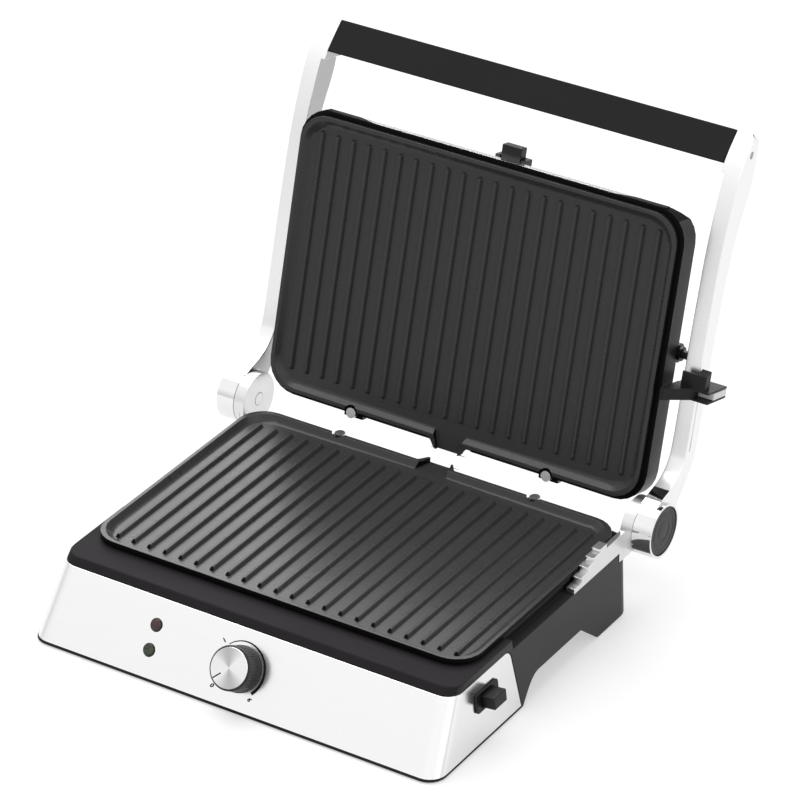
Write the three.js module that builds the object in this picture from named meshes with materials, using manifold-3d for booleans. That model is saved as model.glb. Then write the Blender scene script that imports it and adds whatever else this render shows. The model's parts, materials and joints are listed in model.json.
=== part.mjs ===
// Indoor electric contact grill with two ribbed plates, its lid standing open.
// Millimetres, +Z up, +X to the right, -Y to the cook. The origin is on the table,
// under the middle of the base.

import * as THREE from "three";
import { mergeVertices } from "three/addons/utils/BufferGeometryUtils.js";
import Module from "manifold-3d";

const wasm = await Module();
wasm.setup();

// General
const GAP = 0.3; // clearance between pieces that touch
const FIT = 0.5; // clearance between pieces that slide past each other
const OVERRUN = 3; // how far a cutting shape runs past what it cuts
const QUARTER = Math.PI / 2;
const LEFT_AND_RIGHT = [-1, 1];

// Cooking plates, alike above and below
const PLATE_WIDTH = 328;
const PLATE_DEPTH = 220.5;
const PLATE_RADIUS = 22;
const RIM_HEIGHT = 5; // rim above the cooking floor
const RIM_THICKNESS = 3;
const RIM_SLOPE = 4; // how far the inner side of the rim leans in
const FLANGE_THICKNESS = 4;
const FLANGE_OVERHANG = 4.5; // flange past the body that drops into its well
const FLOOR_THICKNESS = 3.5;
const RIB_PITCH = 14;
const RIB_SIDE_MARGIN = 17; // side of the plate to the middle of the first rib
const RIB_COUNT = Math.round((PLATE_WIDTH - 2 * RIB_SIDE_MARGIN) / RIB_PITCH) + 1;
const RIB_HEIGHT = 3;
const RIB_TOP_WIDTH = 2;
const RIB_FLANK = 1.4; // width of each sloping side
const RIB_FRONT_MARGIN = 12.7; // front rim to rib ends
const RIB_REAR_MARGIN = 16;
const SPOUT_LENGTH = 8.5;
const SPOUT_WIDTH = 34;
const SPOUT_TIP_WIDTH = 22;
const SPOUT_WALL = 2.5;
const SPOUT_DROP = 1; // its top below the rim
const SPOUT_FLOOR = 2.2;
const SPOUT_TIP_RADIUS = 2.5;
const SPOUT_FLARE = 8; // how far its sides sweep out along the rim
const SPOUT_FLARE_RADIUS = 8;
const PEG_SPREAD = 174; // between the two pegs that hold the rear edge
const PEG_RADIUS = 4.2;
const PEG_SETBACK = 1.8; // peg centre behind the rear edge
const PEG_DROP = 1; // peg top below the rim
const NOTCH_RADIUS = 6.2;
const BODY_DEPTH = RIM_HEIGHT + FLOOR_THICKNESS;

// Well, reflector and heater behind each plate
const WELL_LEVEL = 5.8; // rim down to the face around the well
const WELL_CLEARANCE = 1;
const WELL_WALL = 2;
const REFLECTOR_SHEET = 1;
const LEDGE_WIDTH = 3.5; // the plate's seat inside the well
const REFLECTOR_INSET = 5.2; // from the edge of the plate to the edge of the sheet
const REFLECTOR_RIM_INSET = 14; // from the edge of the plate to the rim wall
const HEATER_RADIUS = 3.2;
const HEATER_SIDE_MARGIN = 59;
const HEATER_FRONT_MARGIN = 42;
const HEATER_REAR_MARGIN = 42;
const HEATER_BEND = 16;
const HEATER_TAIL_SPREAD = 30;
const HEATER_TAIL = 20;
const HEATER_SIDES = 8;
const HEATER_LEVEL = BODY_DEPTH + GAP + HEATER_RADIUS;
const REFLECTOR_LEVEL = HEATER_LEVEL + HEATER_RADIUS + GAP;
const WELL_BOTTOM = REFLECTOR_LEVEL - GAP;

// Base
const SHOULDER_MARGIN = 6.5; // upper edge of the steel past the side of the plate
const SIDE_FLARE = 6; // how far each side leans out from there to the table
const TOP_INSET = 0.6; // how far each side leans in above it
const PLATE_FROM_FRONT = 60.5; // lower front edge of the base to the plate
const PLATE_REAR_OVERHANG = 7; // plate past the lower rear edge of the base
const BASE_SHOULDER_WIDTH = PLATE_WIDTH + 2 * SHOULDER_MARGIN;
const BASE_WIDTH = BASE_SHOULDER_WIDTH + 2 * SIDE_FLARE;
const BASE_TOP_WIDTH = BASE_SHOULDER_WIDTH - 2 * TOP_INSET;
const BASE_DEPTH = PLATE_FROM_FRONT + PLATE_DEPTH - PLATE_REAR_OVERHANG;
const BASE_STANDOFF = 0.8;
const RIM_LEVEL = 64.75; // rim of the lower plate above the table
const SURROUND_LEVEL = RIM_LEVEL - WELL_LEVEL;
const SHOULDER_DROP = 11.75; // rim of the plate down to the upper edge of the steel
const SHOULDER_LEVEL = RIM_LEVEL - SHOULDER_DROP;
const PANEL_SETBACK = 32.7; // how far the front leans back at the shoulder
const SURROUND_LEAN = 4.8; // how much further it leans back above the shoulder
const REAR_OVERHANG = 5.8; // how far the rear leans out at the shoulder
const BASE_RADIUS = 14;
const BASE_TOP_RADIUS = 13;
const BASE_WALL = 2.6;
const FRONT = -BASE_DEPTH / 2;
const PLATE_REAR = FRONT + BASE_DEPTH + PLATE_REAR_OVERHANG;
const PANEL_ANGLE = Math.atan2(SHOULDER_LEVEL - BASE_STANDOFF, PANEL_SETBACK);
const SIDE_LEAN = Math.atan2(SIDE_FLARE, SHOULDER_LEVEL - BASE_STANDOFF);

// Steel apron
const STEEL = 0.8;
const STEEL_INSET = 0.1; // steel below the face of the housing around it
const APRON_BOTTOM = 2.8;
const APRON_REAR_LOW = 117;
const APRON_REAR_HIGH = 109;
const APRON_CORNER = 8;

// Side recesses and underside
const HINGE_SETBACK = 10.5; // hinge axis behind the plate
const HINGE_FROM_FRONT = PLATE_FROM_FRONT + PLATE_DEPTH + HINGE_SETBACK;
const RAIL_MARGIN = 5; // steel to the recess beside the plate
const RAIL_START = APRON_REAR_HIGH + RAIL_MARGIN;
const RAIL_DROP = 1; // shoulder down to the recess
const RAIL_LEVEL = SHOULDER_LEVEL - RAIL_DROP;
const RAIL_STEP = 8; // down to the lower recess under the hinge
const RAIL_STEP_TO_HINGE = 28;
const RAIL_LOW_LEVEL = RAIL_LEVEL - RAIL_STEP;
const RAIL_LOW_START = HINGE_FROM_FRONT - RAIL_STEP_TO_HINGE;
const ARCH_HEIGHT = 18.5;
const ARCH_MARGIN = 3; // steel to the foot of the arch
const ARCH_RISE_RUN = 24;
const ARCH_TOP_TO_REAR = 69.3;
const ARCH_HEEL_TO_REAR = 48;
const ARCH_FOOT = APRON_REAR_LOW + ARCH_MARGIN;
const ARCH_START = ARCH_FOOT + ARCH_RISE_RUN;
const ARCH_END = BASE_DEPTH - ARCH_TOP_TO_REAR;
const ARCH_HEEL = BASE_DEPTH - ARCH_HEEL_TO_REAR;
const ARCH_STEPS = 5;

// Bottom cover and feet
const COVER_SHEET = 1.2;
const FOOT_RADIUS = 8;
const FOOT_INSET = 22; // from the side and the front
const FOOT_REAR_INSET = 14;

// Controls on the slanted front
const DIAL_HEIGHT_ON_PANEL = 32; // centre, measured up the slant
const DIAL_RADIUS = 16.3;
const DIAL_BASE_RADIUS = 17.4;
const DIAL_LENGTH = 15.6;
const DIAL_FLUTES = 24;
const DIAL_FLUTE_DEPTH = 0.7;
const DIAL_FACE_RADIUS = 15;
const DIAL_FACE_THICKNESS = 1.6;
const DIAL_FACE_RAISE = 0.5;
const DIAL_COLLAR = 0.6; // dial above the panel
const SHAFT_RADIUS = 3;
const THERMOSTAT_RADIUS = 13;
const THERMOSTAT_LENGTH = 16;
const THERMOSTAT_NECK_RADIUS = 5;
const LENS_RADIUS = 4.8;
const LENS_RAISE = 1;
const LENS_LENGTH = 9;
const LENS_OFFSET = -76.7;
const LENS_HEIGHT_ON_PANEL = 22.6; // the lower lens
const LENS_SPACING = 19;
const LAMP_BOARD_THICKNESS = 1.6;
const LAMP_BOARD_WIDTH = 22;
const LAMP_BOARD_MARGIN = 9;

// Lower release button, on the right side
const BUTTON_FROM_FRONT = 73.4;
const BUTTON_LEVEL = 34.5; // measured up the side
const BUTTON_LENGTH = 16.3;
const BUTTON_HEIGHT = 9.5;
const BUTTON_REACH = 12.5; // past the side
const BUTTON_ROOT = 5; // inside the side
const BEZEL_LENGTH = 30;
const BEZEL_HEIGHT = 15.5;
const BEZEL_THICKNESS = 1.7;
const BEZEL_RADIUS = 3;
const STEM_RADIUS = 2.6;
const STEM_LENGTH = 16;
const GUIDE_THICKNESS = 2;
const GUIDE_OFFSET = 18; // guide plate inside the side
const SPRING_RADIUS = 4.2;
const SPRING_WIRE = 0.6;
const SPRING_TURNS = 4;
const SPRING_STEPS = 9;
const SPRING_SIDES = 5;

// Hinge: stretches of X are measured from the middle plane
const HINGE_DROP = 0.5; // hinge axis below the rim of the plate
const HINGE_LEVEL = RIM_LEVEL - HINGE_DROP;
const HINGE_Y = FRONT + HINGE_FROM_FRONT;
const BRACKET_THICKNESS = 7;
const BRACKET_INNER = PLATE_WIDTH / 2 + FIT;
const BRACKET_OUTER = BRACKET_INNER + BRACKET_THICKNESS;
const DRUM_RADIUS = 21.3;
const BRACKET_WEB = 4; // thickness of the bracket beside the drum
const DRUM_INNER_LENGTH = 9.9;
const DRUM_OUTER_LENGTH = 15.6;
const DRUM_INNER_START = BRACKET_OUTER - BRACKET_WEB;
const DRUM_SEAM = DRUM_INNER_START + DRUM_INNER_LENGTH;
const DRUM_OUTER_END = DRUM_SEAM + DRUM_OUTER_LENGTH;
const CAP_RADIUS = 19.2;
const CAP_THICKNESS = 2;
const CAP_INSET = 0.8; // cap below the rim of the drum
const CAP_OUTER = DRUM_OUTER_END - CAP_INSET;
const CAP_INNER = CAP_OUTER - CAP_THICKNESS;
const PIN_RADIUS = 5;
const PIN_ROOM = 1.3; // between the pin and the seat of the cap
const PIN_END = CAP_INNER - GAP - PIN_ROOM;
const BRACKET_TO_HINGE = 8.1; // rear end of the bracket to the hinge axis
const BRACKET_RISE = 3.25; // top of the bracket over the hinge axis
const BRACKET_REAR = HINGE_FROM_FRONT - BRACKET_TO_HINGE;
const BRACKET_LEVEL = HINGE_LEVEL + BRACKET_RISE;
const COMB_TO_HINGE = 93.5; // front end of the stepped one on the right
const COMB_START = HINGE_FROM_FRONT - COMB_TO_HINGE;
const COMB_HEIGHT = 19.2; // highest step above the side recess
const COMB_STEP_SHARES = [0.234, 0.469, 0.698, 0.87, 1];
const COMB_STEP_DEPTH = 9;
const COMB_LIP_THICKNESS = 0.8;
const COMB_LIP_OVERHANG = 1.6;
const COMB_END = COMB_START + COMB_STEP_SHARES.length * COMB_STEP_DEPTH + COMB_LIP_OVERHANG;

// Power inlet at the rear
const INLET_WIDTH = 24;
const INLET_HEIGHT = 16;
const INLET_DEPTH = 9;
const INLET_LEVEL = 33;
const INLET_OFFSET = -110;
const INLET_BORE_RADIUS = 4;

// Upper unit, measured from the hinge: along the lid, and over the hinge plane when closed
const UPPER_PLATE_START = 12.6; // rear edge of the plate
const UPPER_RIM_LEVEL = 2.8;
const FRAME_MARGIN = 3.6; // frame past the plate
const FRAME_RADIUS = 25;
const FRAME_BACK_LEVEL = 26.6;
const FRAME_WALL = 2.4;
const FRAME_LEVEL = UPPER_RIM_LEVEL + WELL_LEVEL;
const FRAME_FRONT = UPPER_PLATE_START + PLATE_DEPTH + FRAME_MARGIN;
const FRAME_SIDE = PLATE_WIDTH / 2 + FRAME_MARGIN;
const BACK_LEVEL = 36;
const BACK_INSET = 15; // how far the steel back slopes in
const NOSE_LEVEL = 15.2; // where the steel nose starts to slope back
const NOSE_DEPTH = 10.5;
const NOSE_MARGIN = 19.6; // side of the frame to the end of the nose
const NOSE_HALF_WIDTH = FRAME_SIDE - NOSE_MARGIN;
const TILT_PIVOT_ALONG = 126;
const TILT_PIVOT_LEVEL = 30.6;
const TILT_PIN_RADIUS = 3.4;
const TILT_PIN_DEPTH = 9.6; // pin inside the frame
const TILT_PIN_INNER = FRAME_SIDE - TILT_PIN_DEPTH;
const TILT_HEAD_RADIUS = 5.6;
const TILT_HEAD_THICKNESS = 2;
const TILT_BOSS_RADIUS = 7.5;

// Upper release button
const UPPER_BUTTON_OFFSET = 8.5;
const UPPER_BUTTON_WIDTH = 17;
const UPPER_BUTTON_DEPTH = 8.4;
const UPPER_BUTTON_LEVEL = 20.6;
const UPPER_BUTTON_REACH = 9.3; // past the frame
const UPPER_BUTTON_LENGTH = 20;
const UPPER_BUTTON_END = FRAME_FRONT + UPPER_BUTTON_REACH;
const UPPER_BUTTON_ROOT = UPPER_BUTTON_END - UPPER_BUTTON_LENGTH;
const UPPER_GUIDE_WIDTH = 27;
const UPPER_GUIDE_DEPTH = 11.4;
const UPPER_GUIDE_LEVEL = 20;
const UPPER_GUIDE_REACH = 0.8;
const UPPER_GUIDE_LENGTH = 24.5;
const UPPER_GUIDE_END = FRAME_FRONT + UPPER_GUIDE_REACH;
const UPPER_GUIDE_START = UPPER_GUIDE_END - UPPER_GUIDE_LENGTH;
const UPPER_STEM_LENGTH = 14;

// Arms and grip, measured as the upper unit is
const LID_OPEN_DEGREES = 104.8;
const LID_OPEN = THREE.MathUtils.degToRad(LID_OPEN_DEGREES);
const ARM_LAP = 1.4; // arm inside the seam of the drum
const ARM_WIDTH = 13;
const ARM_DEPTH = 16.2;
const ARM_INNER = DRUM_SEAM - ARM_LAP;
const ARM_OUTER = ARM_INNER + ARM_WIDTH;
const ARM_WALL = 1.8;
const ARM_FRONT = 25.3; // front edge of the straight stretch
const ARM_BACK = ARM_FRONT + ARM_DEPTH;
const ARM_STRAIGHT_START = 56;
const ARM_STRAIGHT_END = 132;
const ARM_TOP_RADIUS = 13;
const GRIP_CLEARANCE = 35.8; // frame to the grip, room for a hand
const GRIP_SETBACK = 13.9; // lower edge of the grip's face behind the front of the arm
const GRIP_FACE_RUN = 23.2;
const GRIP_FACE_RISE = 15.8;
const GRIP_LOW = [FRAME_FRONT + GRIP_CLEARANCE, ARM_FRONT + GRIP_SETBACK];
const GRIP_HIGH = [GRIP_LOW[0] + GRIP_FACE_RUN, GRIP_LOW[1] + GRIP_FACE_RISE];
const GRIP_DEPTH = 13.2;
const GRIP_TO_ARM = 3.6; // end of the grip inside the straight stretch of the arm
const GRIP_END = ARM_INNER - GRIP_TO_ARM;
const GRIP_CORE_RADIUS = 3.6;
const GRIP_CORE_REACH = 4;
const GRIP_SCREW_RADIUS = 2.4;

// Height slider on the right arm, and the slot that guides it
const SLIDER_LOW = 98;
const SLIDER_LENGTH = 9;
const SLIDER_HIGH = SLIDER_LOW + SLIDER_LENGTH;
const SLIDER_SHEET = 1.5;
const SLIDER_FRONT_REACH = 8.3; // past the front of the arm
const SLIDER_BACK_REACH = 4.5;
const SLIDER_INNER_REACH = 3;
const SLIDER_OUTER_REACH = 14;
const SLIDER_FRONT = ARM_FRONT - SLIDER_FRONT_REACH;
const SLIDER_BACK = ARM_BACK + SLIDER_BACK_REACH;
const SLIDER_INNER = ARM_INNER - SLIDER_INNER_REACH;
const SLIDER_OUTER = ARM_OUTER + SLIDER_OUTER_REACH;
const SLIDER_NOSE_REACH = 6.3;
const HOOK_REACH = 4; // hook past the inner side of the arm
const HOOK_INNER = ARM_INNER - HOOK_REACH;
const HOOK_FRONT = -2; // the hook's tip passes the hinge plane
const TAB_HEIGHT = 11; // its front edge over the upper sheet
const TAB_RISE = 3.3; // how much higher its rear edge stands
const TAB_LENGTH = 7.6;
const TAB_WIDTH = 8;
const TAB_SETBACK = 0.9; // tab behind the front edge of the sheet
const TAB_WALL = 2.2; // the upright wall that runs from the tab in front of the arm
const TAB_WALL_WIDTH = 12.3;
const TAB_START = ARM_OUTER + SLIDER_SHEET;
const SLOT_WIDTH = 1.8;
const SLOT_START = 55;
const SLOT_MARGIN = 1; // slot past the slider
const SLOT_END = SLIDER_HIGH + SLOT_MARGIN;
const SLOT_LEVEL = 30.4;
const STUD_LENGTH = 3;

// Roundness, as numbers of straight segments
const FINE_SEGMENTS = 40;
const MEDIUM_SEGMENTS = 24;
const COARSE_SEGMENTS = 16;
const CORNER_STEPS = 6;

// Outlines

function shapeOf(points) {
  return new THREE.Shape(points.map(([a, b]) => new THREE.Vector2(a, b)));
}

function roundedPoints(width, depth, radius, steps = CORNER_STEPS) {
  const points = [];
  const halfWidth = width / 2;
  const halfDepth = depth / 2;
  const corners = [
    [1, 1],
    [-1, 1],
    [-1, -1],
    [1, -1],
  ];
  corners.forEach(([sideX, sideY], corner) => {
    for (let step = 0; step <= steps; step += 1) {
      const angle = QUARTER * (corner + step / steps);
      points.push([
        sideX * (halfWidth - radius) + radius * Math.cos(angle),
        sideY * (halfDepth - radius) + radius * Math.sin(angle),
      ]);
    }
  });
  return points;
}

// Rounds the corner between two lines of an outline; radius 0 keeps it sharp.
function filletedPoints(corners, steps = CORNER_STEPS) {
  const points = [];
  corners.forEach(([a, b, radius = 0], index) => {
    const here = new THREE.Vector2(a, b);
    if (radius === 0) {
      points.push([a, b]);
      return;
    }
    const before = corners[(index + corners.length - 1) % corners.length];
    const after = corners[(index + 1) % corners.length];
    const toBefore = new THREE.Vector2(before[0], before[1]).sub(here).normalize();
    const toAfter = new THREE.Vector2(after[0], after[1]).sub(here).normalize();
    const half = Math.acos(toBefore.dot(toAfter)) / 2;
    const reach = radius / Math.tan(half);
    const curve = new THREE.QuadraticBezierCurve(
      here.clone().addScaledVector(toBefore, reach),
      here,
      here.clone().addScaledVector(toAfter, reach),
    );
    curve.getPoints(steps).forEach((point) => points.push([point.x, point.y]));
  });
  return points;
}

// Rounds an open line by cutting each of its corners, again and again.
function smoothedLine(points, rounds = 2) {
  let line = points;
  for (let round = 0; round < rounds; round += 1) {
    const inner = line.slice(1).flatMap(([a, b], index) => {
      const [c, d] = line[index];
      return [
        [c + (a - c) / 4, d + (b - d) / 4],
        [a - (a - c) / 4, b - (b - d) / 4],
      ];
    });
    line = [line[0], ...inner.slice(1, -1), line[line.length - 1]];
  }
  return line;
}

// Geometries

// A stretch of X on the right side, or its mirror image on the left.
function across(side, start, end) {
  return side > 0 ? [start, end] : [-end, -start];
}

function prism(points, start, end) {
  const geometry = new THREE.ExtrudeGeometry(shapeOf(points), {
    depth: end - start,
    bevelEnabled: false,
  });
  return geometry.translate(0, 0, start);
}

// An outline in Y and Z, run along X.
function sidePrism(points, start, end) {
  const turn = new THREE.Matrix4().makeBasis(
    new THREE.Vector3(0, 1, 0),
    new THREE.Vector3(0, 0, 1),
    new THREE.Vector3(1, 0, 0),
  );
  return prism(points, start, end).applyMatrix4(turn);
}

// An outline in X and Z, run along Y.
function frontPrism(points, start, end) {
  const turn = new THREE.Matrix4().makeBasis(
    new THREE.Vector3(1, 0, 0),
    new THREE.Vector3(0, 0, 1),
    new THREE.Vector3(0, -1, 0),
  );
  return prism(points, -end, -start).applyMatrix4(turn);
}

function box([x0, x1], [y0, y1], [z0, z1]) {
  const geometry = new THREE.BoxGeometry(x1 - x0, y1 - y0, z1 - z0);
  return geometry.translate((x0 + x1) / 2, (y0 + y1) / 2, (z0 + z1) / 2);
}

function roundAlongX(radius, start, end, segments) {
  const geometry = new THREE.CylinderGeometry(radius, radius, end - start, segments);
  return geometry.rotateZ(-QUARTER).translate((start + end) / 2, 0, 0);
}

function roundAlongY(radius, start, end, segments) {
  const geometry = new THREE.CylinderGeometry(radius, radius, end - start, segments);
  return geometry.translate(0, (start + end) / 2, 0);
}

function roundAlongZ(radius, start, end, segments, endRadius = radius) {
  const geometry = new THREE.CylinderGeometry(endRadius, radius, end - start, segments);
  return geometry.rotateX(QUARTER).translate(0, 0, (start + end) / 2);
}

// A block with rounded upright corners whose sides lean from a lower outline to an upper one.
// Each outline is { width, front, rear, level }.
function leaningBlock(low, high, radius) {
  const depth = low.rear - low.front;
  const middle = (low.rear + low.front) / 2;
  const geometry = prism(roundedPoints(low.width, depth, radius), 0, 1);
  const position = geometry.attributes.position;
  for (let index = 0; index < position.count; index += 1) {
    const rise = position.getZ(index);
    const share = (position.getY(index) + depth / 2) / depth;
    const upperY = high.front + share * (high.rear - high.front);
    const lowerY = position.getY(index) + middle;
    const upperX = (position.getX(index) * high.width) / low.width;
    position.setXYZ(
      index,
      THREE.MathUtils.lerp(position.getX(index), upperX, rise),
      THREE.MathUtils.lerp(lowerY, upperY, rise),
      THREE.MathUtils.lerp(low.level, high.level, rise),
    );
  }
  return geometry;
}

function outlineAt(low, high, level) {
  const share = (level - low.level) / (high.level - low.level);
  return {
    width: THREE.MathUtils.lerp(low.width, high.width, share),
    front: THREE.MathUtils.lerp(low.front, high.front, share),
    rear: THREE.MathUtils.lerp(low.rear, high.rear, share),
    level,
  };
}

function shrunk(outline, by) {
  return {
    width: outline.width - 2 * by,
    front: outline.front + by,
    rear: outline.rear - by,
    level: outline.level,
  };
}

// A path through chosen stops, with one step of the extrusion from each stop to the next.
class StopPath extends THREE.Curve {
  constructor(stops) {
    super();
    this.stops = stops;
  }

  getPoint(share, target = new THREE.Vector3()) {
    const along = THREE.MathUtils.clamp(share, 0, 1) * (this.stops.length - 1);
    const index = Math.min(Math.floor(along), this.stops.length - 2);
    return target.lerpVectors(this.stops[index], this.stops[index + 1], along - index);
  }

  getPointAt(share, target) {
    return this.getPoint(share, target);
  }

  getTangentAt(share, target) {
    return this.getTangent(share, target);
  }
}

function tube(stops, radius, sides) {
  const section = [];
  for (let side = 0; side < sides; side += 1) {
    const angle = (2 * Math.PI * side) / sides;
    section.push([radius * Math.cos(angle), radius * Math.sin(angle)]);
  }
  return new THREE.ExtrudeGeometry(shapeOf(section), {
    steps: stops.length - 1,
    extrudePath: new StopPath(stops),
  });
}

function bentStops(corners, radius, steps) {
  const stops = [corners[0]];
  for (let index = 1; index < corners.length - 1; index += 1) {
    const here = corners[index];
    const toBefore = corners[index - 1].clone().sub(here).normalize();
    const toAfter = corners[index + 1].clone().sub(here).normalize();
    const bend = new THREE.QuadraticBezierCurve3(
      here.clone().addScaledVector(toBefore, radius),
      here,
      here.clone().addScaledVector(toAfter, radius),
    );
    stops.push(...bend.getPoints(steps));
  }
  stops.push(corners[corners.length - 1]);
  return stops;
}

// A coil along X.
function coil(radius, wire, start, length, turns) {
  const stops = [];
  const count = turns * SPRING_STEPS;
  for (let step = 0; step <= count; step += 1) {
    const angle = (2 * Math.PI * step) / SPRING_STEPS;
    const along = start + wire + ((length - 2 * wire) * step) / count;
    stops.push(new THREE.Vector3(along, radius * Math.cos(angle), radius * Math.sin(angle)));
  }
  return tube(stops, wire, SPRING_SIDES);
}

// Joining and cutting

function solid(geometry) {
  const bare = geometry.clone();
  bare.deleteAttribute("normal");
  bare.deleteAttribute("uv");
  const merged = mergeVertices(bare);
  return new wasm.Manifold(
    new wasm.Mesh({
      numProp: 3,
      vertProperties: Float32Array.from(merged.attributes.position.array),
      triVerts: Uint32Array.from(merged.index.array),
    }),
  );
}

function joined(first, ...others) {
  return others.reduce((whole, geometry) => whole.add(asSolid(geometry)), asSolid(first));
}

function cut(first, ...others) {
  return others.reduce((whole, geometry) => whole.subtract(asSolid(geometry)), asSolid(first));
}

function asSolid(shape) {
  return shape instanceof THREE.BufferGeometry ? solid(shape) : shape;
}

function asGeometry(shape) {
  if (shape instanceof THREE.BufferGeometry) {
    return shape;
  }
  const mesh = shape.getMesh();
  const positions = [];
  for (let vertex = 0; vertex < mesh.vertProperties.length; vertex += mesh.numProp) {
    positions.push(...mesh.vertProperties.subarray(vertex, vertex + 3));
  }
  const geometry = new THREE.BufferGeometry();
  geometry.setAttribute("position", new THREE.Float32BufferAttribute(positions, 3));
  geometry.setIndex([...mesh.triVerts]);
  return geometry;
}

// Finishes

function finish(color, roughness, metalness) {
  return new THREE.MeshStandardMaterial({ color, roughness, metalness });
}

const finishes = {
  blackPlastic: () => finish(0x2f2d2f, 0.45, 0),
  greyPlastic: () => finish(0x4d4d4d, 0.5, 0),
  rubber: () => finish(0x1c1c1c, 0.9, 0),
  steel: () => finish(0xe6e4e6, 0.3, 1),
  chrome: () => finish(0xf2f2f2, 0.1, 1),
  bracketMetal: () => finish(0xdddddd, 0.35, 0.8),
  aluminium: () => finish(0xb5b7ba, 0.4, 0.9),
  coating: () => finish(0x434343, 0.5, 0.1),
  redLens: () => finish(0x4a2a2e, 0.2, 0),
  greenLens: () => finish(0x3a4a30, 0.2, 0),
};

function piece(name, shape, material) {
  const mesh = new THREE.Mesh(asGeometry(shape), material());
  mesh.name = name;
  return mesh;
}

// Cooking plate, reflector and heater
// Frame of a unit: X across, Y from the rear edge of the plate to its front, Z from the rim inwards.

function plateOutline(inset, radius) {
  return roundedPoints(PLATE_WIDTH - 2 * inset, PLATE_DEPTH - 2 * inset, radius);
}

function ribs() {
  const length = PLATE_DEPTH - RIB_FRONT_MARGIN - RIB_REAR_MARGIN - 2 * RIB_FLANK;
  const outline = roundedPoints(RIB_TOP_WIDTH, length, RIB_TOP_WIDTH / 2, 3);
  const middle = (RIB_REAR_MARGIN + PLATE_DEPTH - RIB_FRONT_MARGIN) / 2;
  const shapes = [];
  for (let index = 0; index < RIB_COUNT; index += 1) {
    const rib = new THREE.ExtrudeGeometry(shapeOf(outline), {
      depth: GAP,
      bevelThickness: RIB_HEIGHT,
      bevelSize: RIB_FLANK,
      bevelSegments: 1,
    });
    const across = (index - (RIB_COUNT - 1) / 2) * RIB_PITCH;
    shapes.push(rib.translate(across, middle, RIM_HEIGHT));
  }
  return shapes;
}

function spoutOutline(inset) {
  const tip = -SPOUT_LENGTH - (inset > 0 ? OVERRUN : 0);
  const radius = inset > 0 ? 0 : SPOUT_TIP_RADIUS;
  return filletedPoints([
    [SPOUT_WIDTH / 2 - inset, RIM_THICKNESS + RIM_SLOPE + inset],
    [SPOUT_TIP_WIDTH / 2 - inset, tip, radius],
    [-SPOUT_TIP_WIDTH / 2 + inset, tip, radius],
    [-SPOUT_WIDTH / 2 + inset, RIM_THICKNESS + RIM_SLOPE + inset],
  ]);
}

// The curves in which the rim runs out into the sides of the spout.
function spoutFlare() {
  const tip = SPOUT_TIP_WIDTH / 2;
  const half = [
    [SPOUT_WIDTH / 2 + SPOUT_FLARE, RIM_THICKNESS],
    [SPOUT_WIDTH / 2 + SPOUT_FLARE, 0],
    [SPOUT_WIDTH / 2, 0, SPOUT_FLARE_RADIUS],
    [tip, -SPOUT_LENGTH, SPOUT_TIP_RADIUS],
  ];
  const other = half.map(([a, b, radius]) => [-a, b, radius]).reverse();
  return prism(filletedPoints([...half, ...other]), SPOUT_DROP, FLANGE_THICKNESS);
}

function cookingPlate() {
  const middle = PLATE_DEPTH / 2;
  const flange = prism(plateOutline(0, PLATE_RADIUS), 0, FLANGE_THICKNESS);
  const bodyOutline = plateOutline(FLANGE_OVERHANG, PLATE_RADIUS - FLANGE_OVERHANG);
  const body = prism(bodyOutline, FLANGE_THICKNESS / 2, BODY_DEPTH);
  const slope = RIM_SLOPE / RIM_HEIGHT;
  const bowlAt = (level) => ({ width: PLATE_WIDTH, front: 0, rear: PLATE_DEPTH, level });
  const bowl = leaningBlock(
    shrunk(bowlAt(-OVERRUN), RIM_THICKNESS - slope * OVERRUN),
    shrunk(bowlAt(RIM_HEIGHT), RIM_THICKNESS + RIM_SLOPE),
    PLATE_RADIUS,
  );
  const spout = prism(spoutOutline(0), SPOUT_DROP, RIM_HEIGHT + SPOUT_FLOOR);
  const channel = prism(spoutOutline(SPOUT_WALL), -OVERRUN, RIM_HEIGHT);
  const notches = LEFT_AND_RIGHT.map((side) => {
    const notch = roundAlongZ(NOTCH_RADIUS, -OVERRUN, RIM_HEIGHT, COARSE_SEGMENTS);
    return notch.translate((side * PEG_SPREAD) / 2, -PEG_SETBACK, 0);
  });
  flange.translate(0, middle, 0);
  body.translate(0, middle, 0);
  return joined(cut(joined(flange, body, spout, spoutFlare()), bowl, channel, ...notches), ...ribs());
}

function reflector() {
  const middle = PLATE_DEPTH / 2;
  const back = REFLECTOR_LEVEL + REFLECTOR_SHEET;
  const sheet = prism(plateOutline(REFLECTOR_INSET, PLATE_RADIUS - REFLECTOR_INSET), REFLECTOR_LEVEL, back);
  const rimRadius = PLATE_RADIUS - REFLECTOR_RIM_INSET;
  const rim = prism(plateOutline(REFLECTOR_RIM_INSET, rimRadius), BODY_DEPTH + GAP, back);
  const inside = prism(
    plateOutline(REFLECTOR_RIM_INSET + REFLECTOR_SHEET, rimRadius - REFLECTOR_SHEET),
    BODY_DEPTH - OVERRUN,
    REFLECTOR_LEVEL,
  );
  const tail = HEATER_TAIL_SPREAD / 2;
  const room = HEATER_RADIUS + FIT;
  const holes = LEFT_AND_RIGHT.map((side) =>
    box(
      across(side, tail - room, tail + room + 2 * HEATER_RADIUS),
      [HEATER_REAR_MARGIN - room, HEATER_REAR_MARGIN + room],
      [REFLECTOR_LEVEL - OVERRUN, REFLECTOR_LEVEL + OVERRUN],
    ),
  );
  const tray = joined(sheet.translate(0, middle, 0), rim.translate(0, middle, 0));
  return cut(tray, inside.translate(0, middle, 0), ...holes);
}

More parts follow.
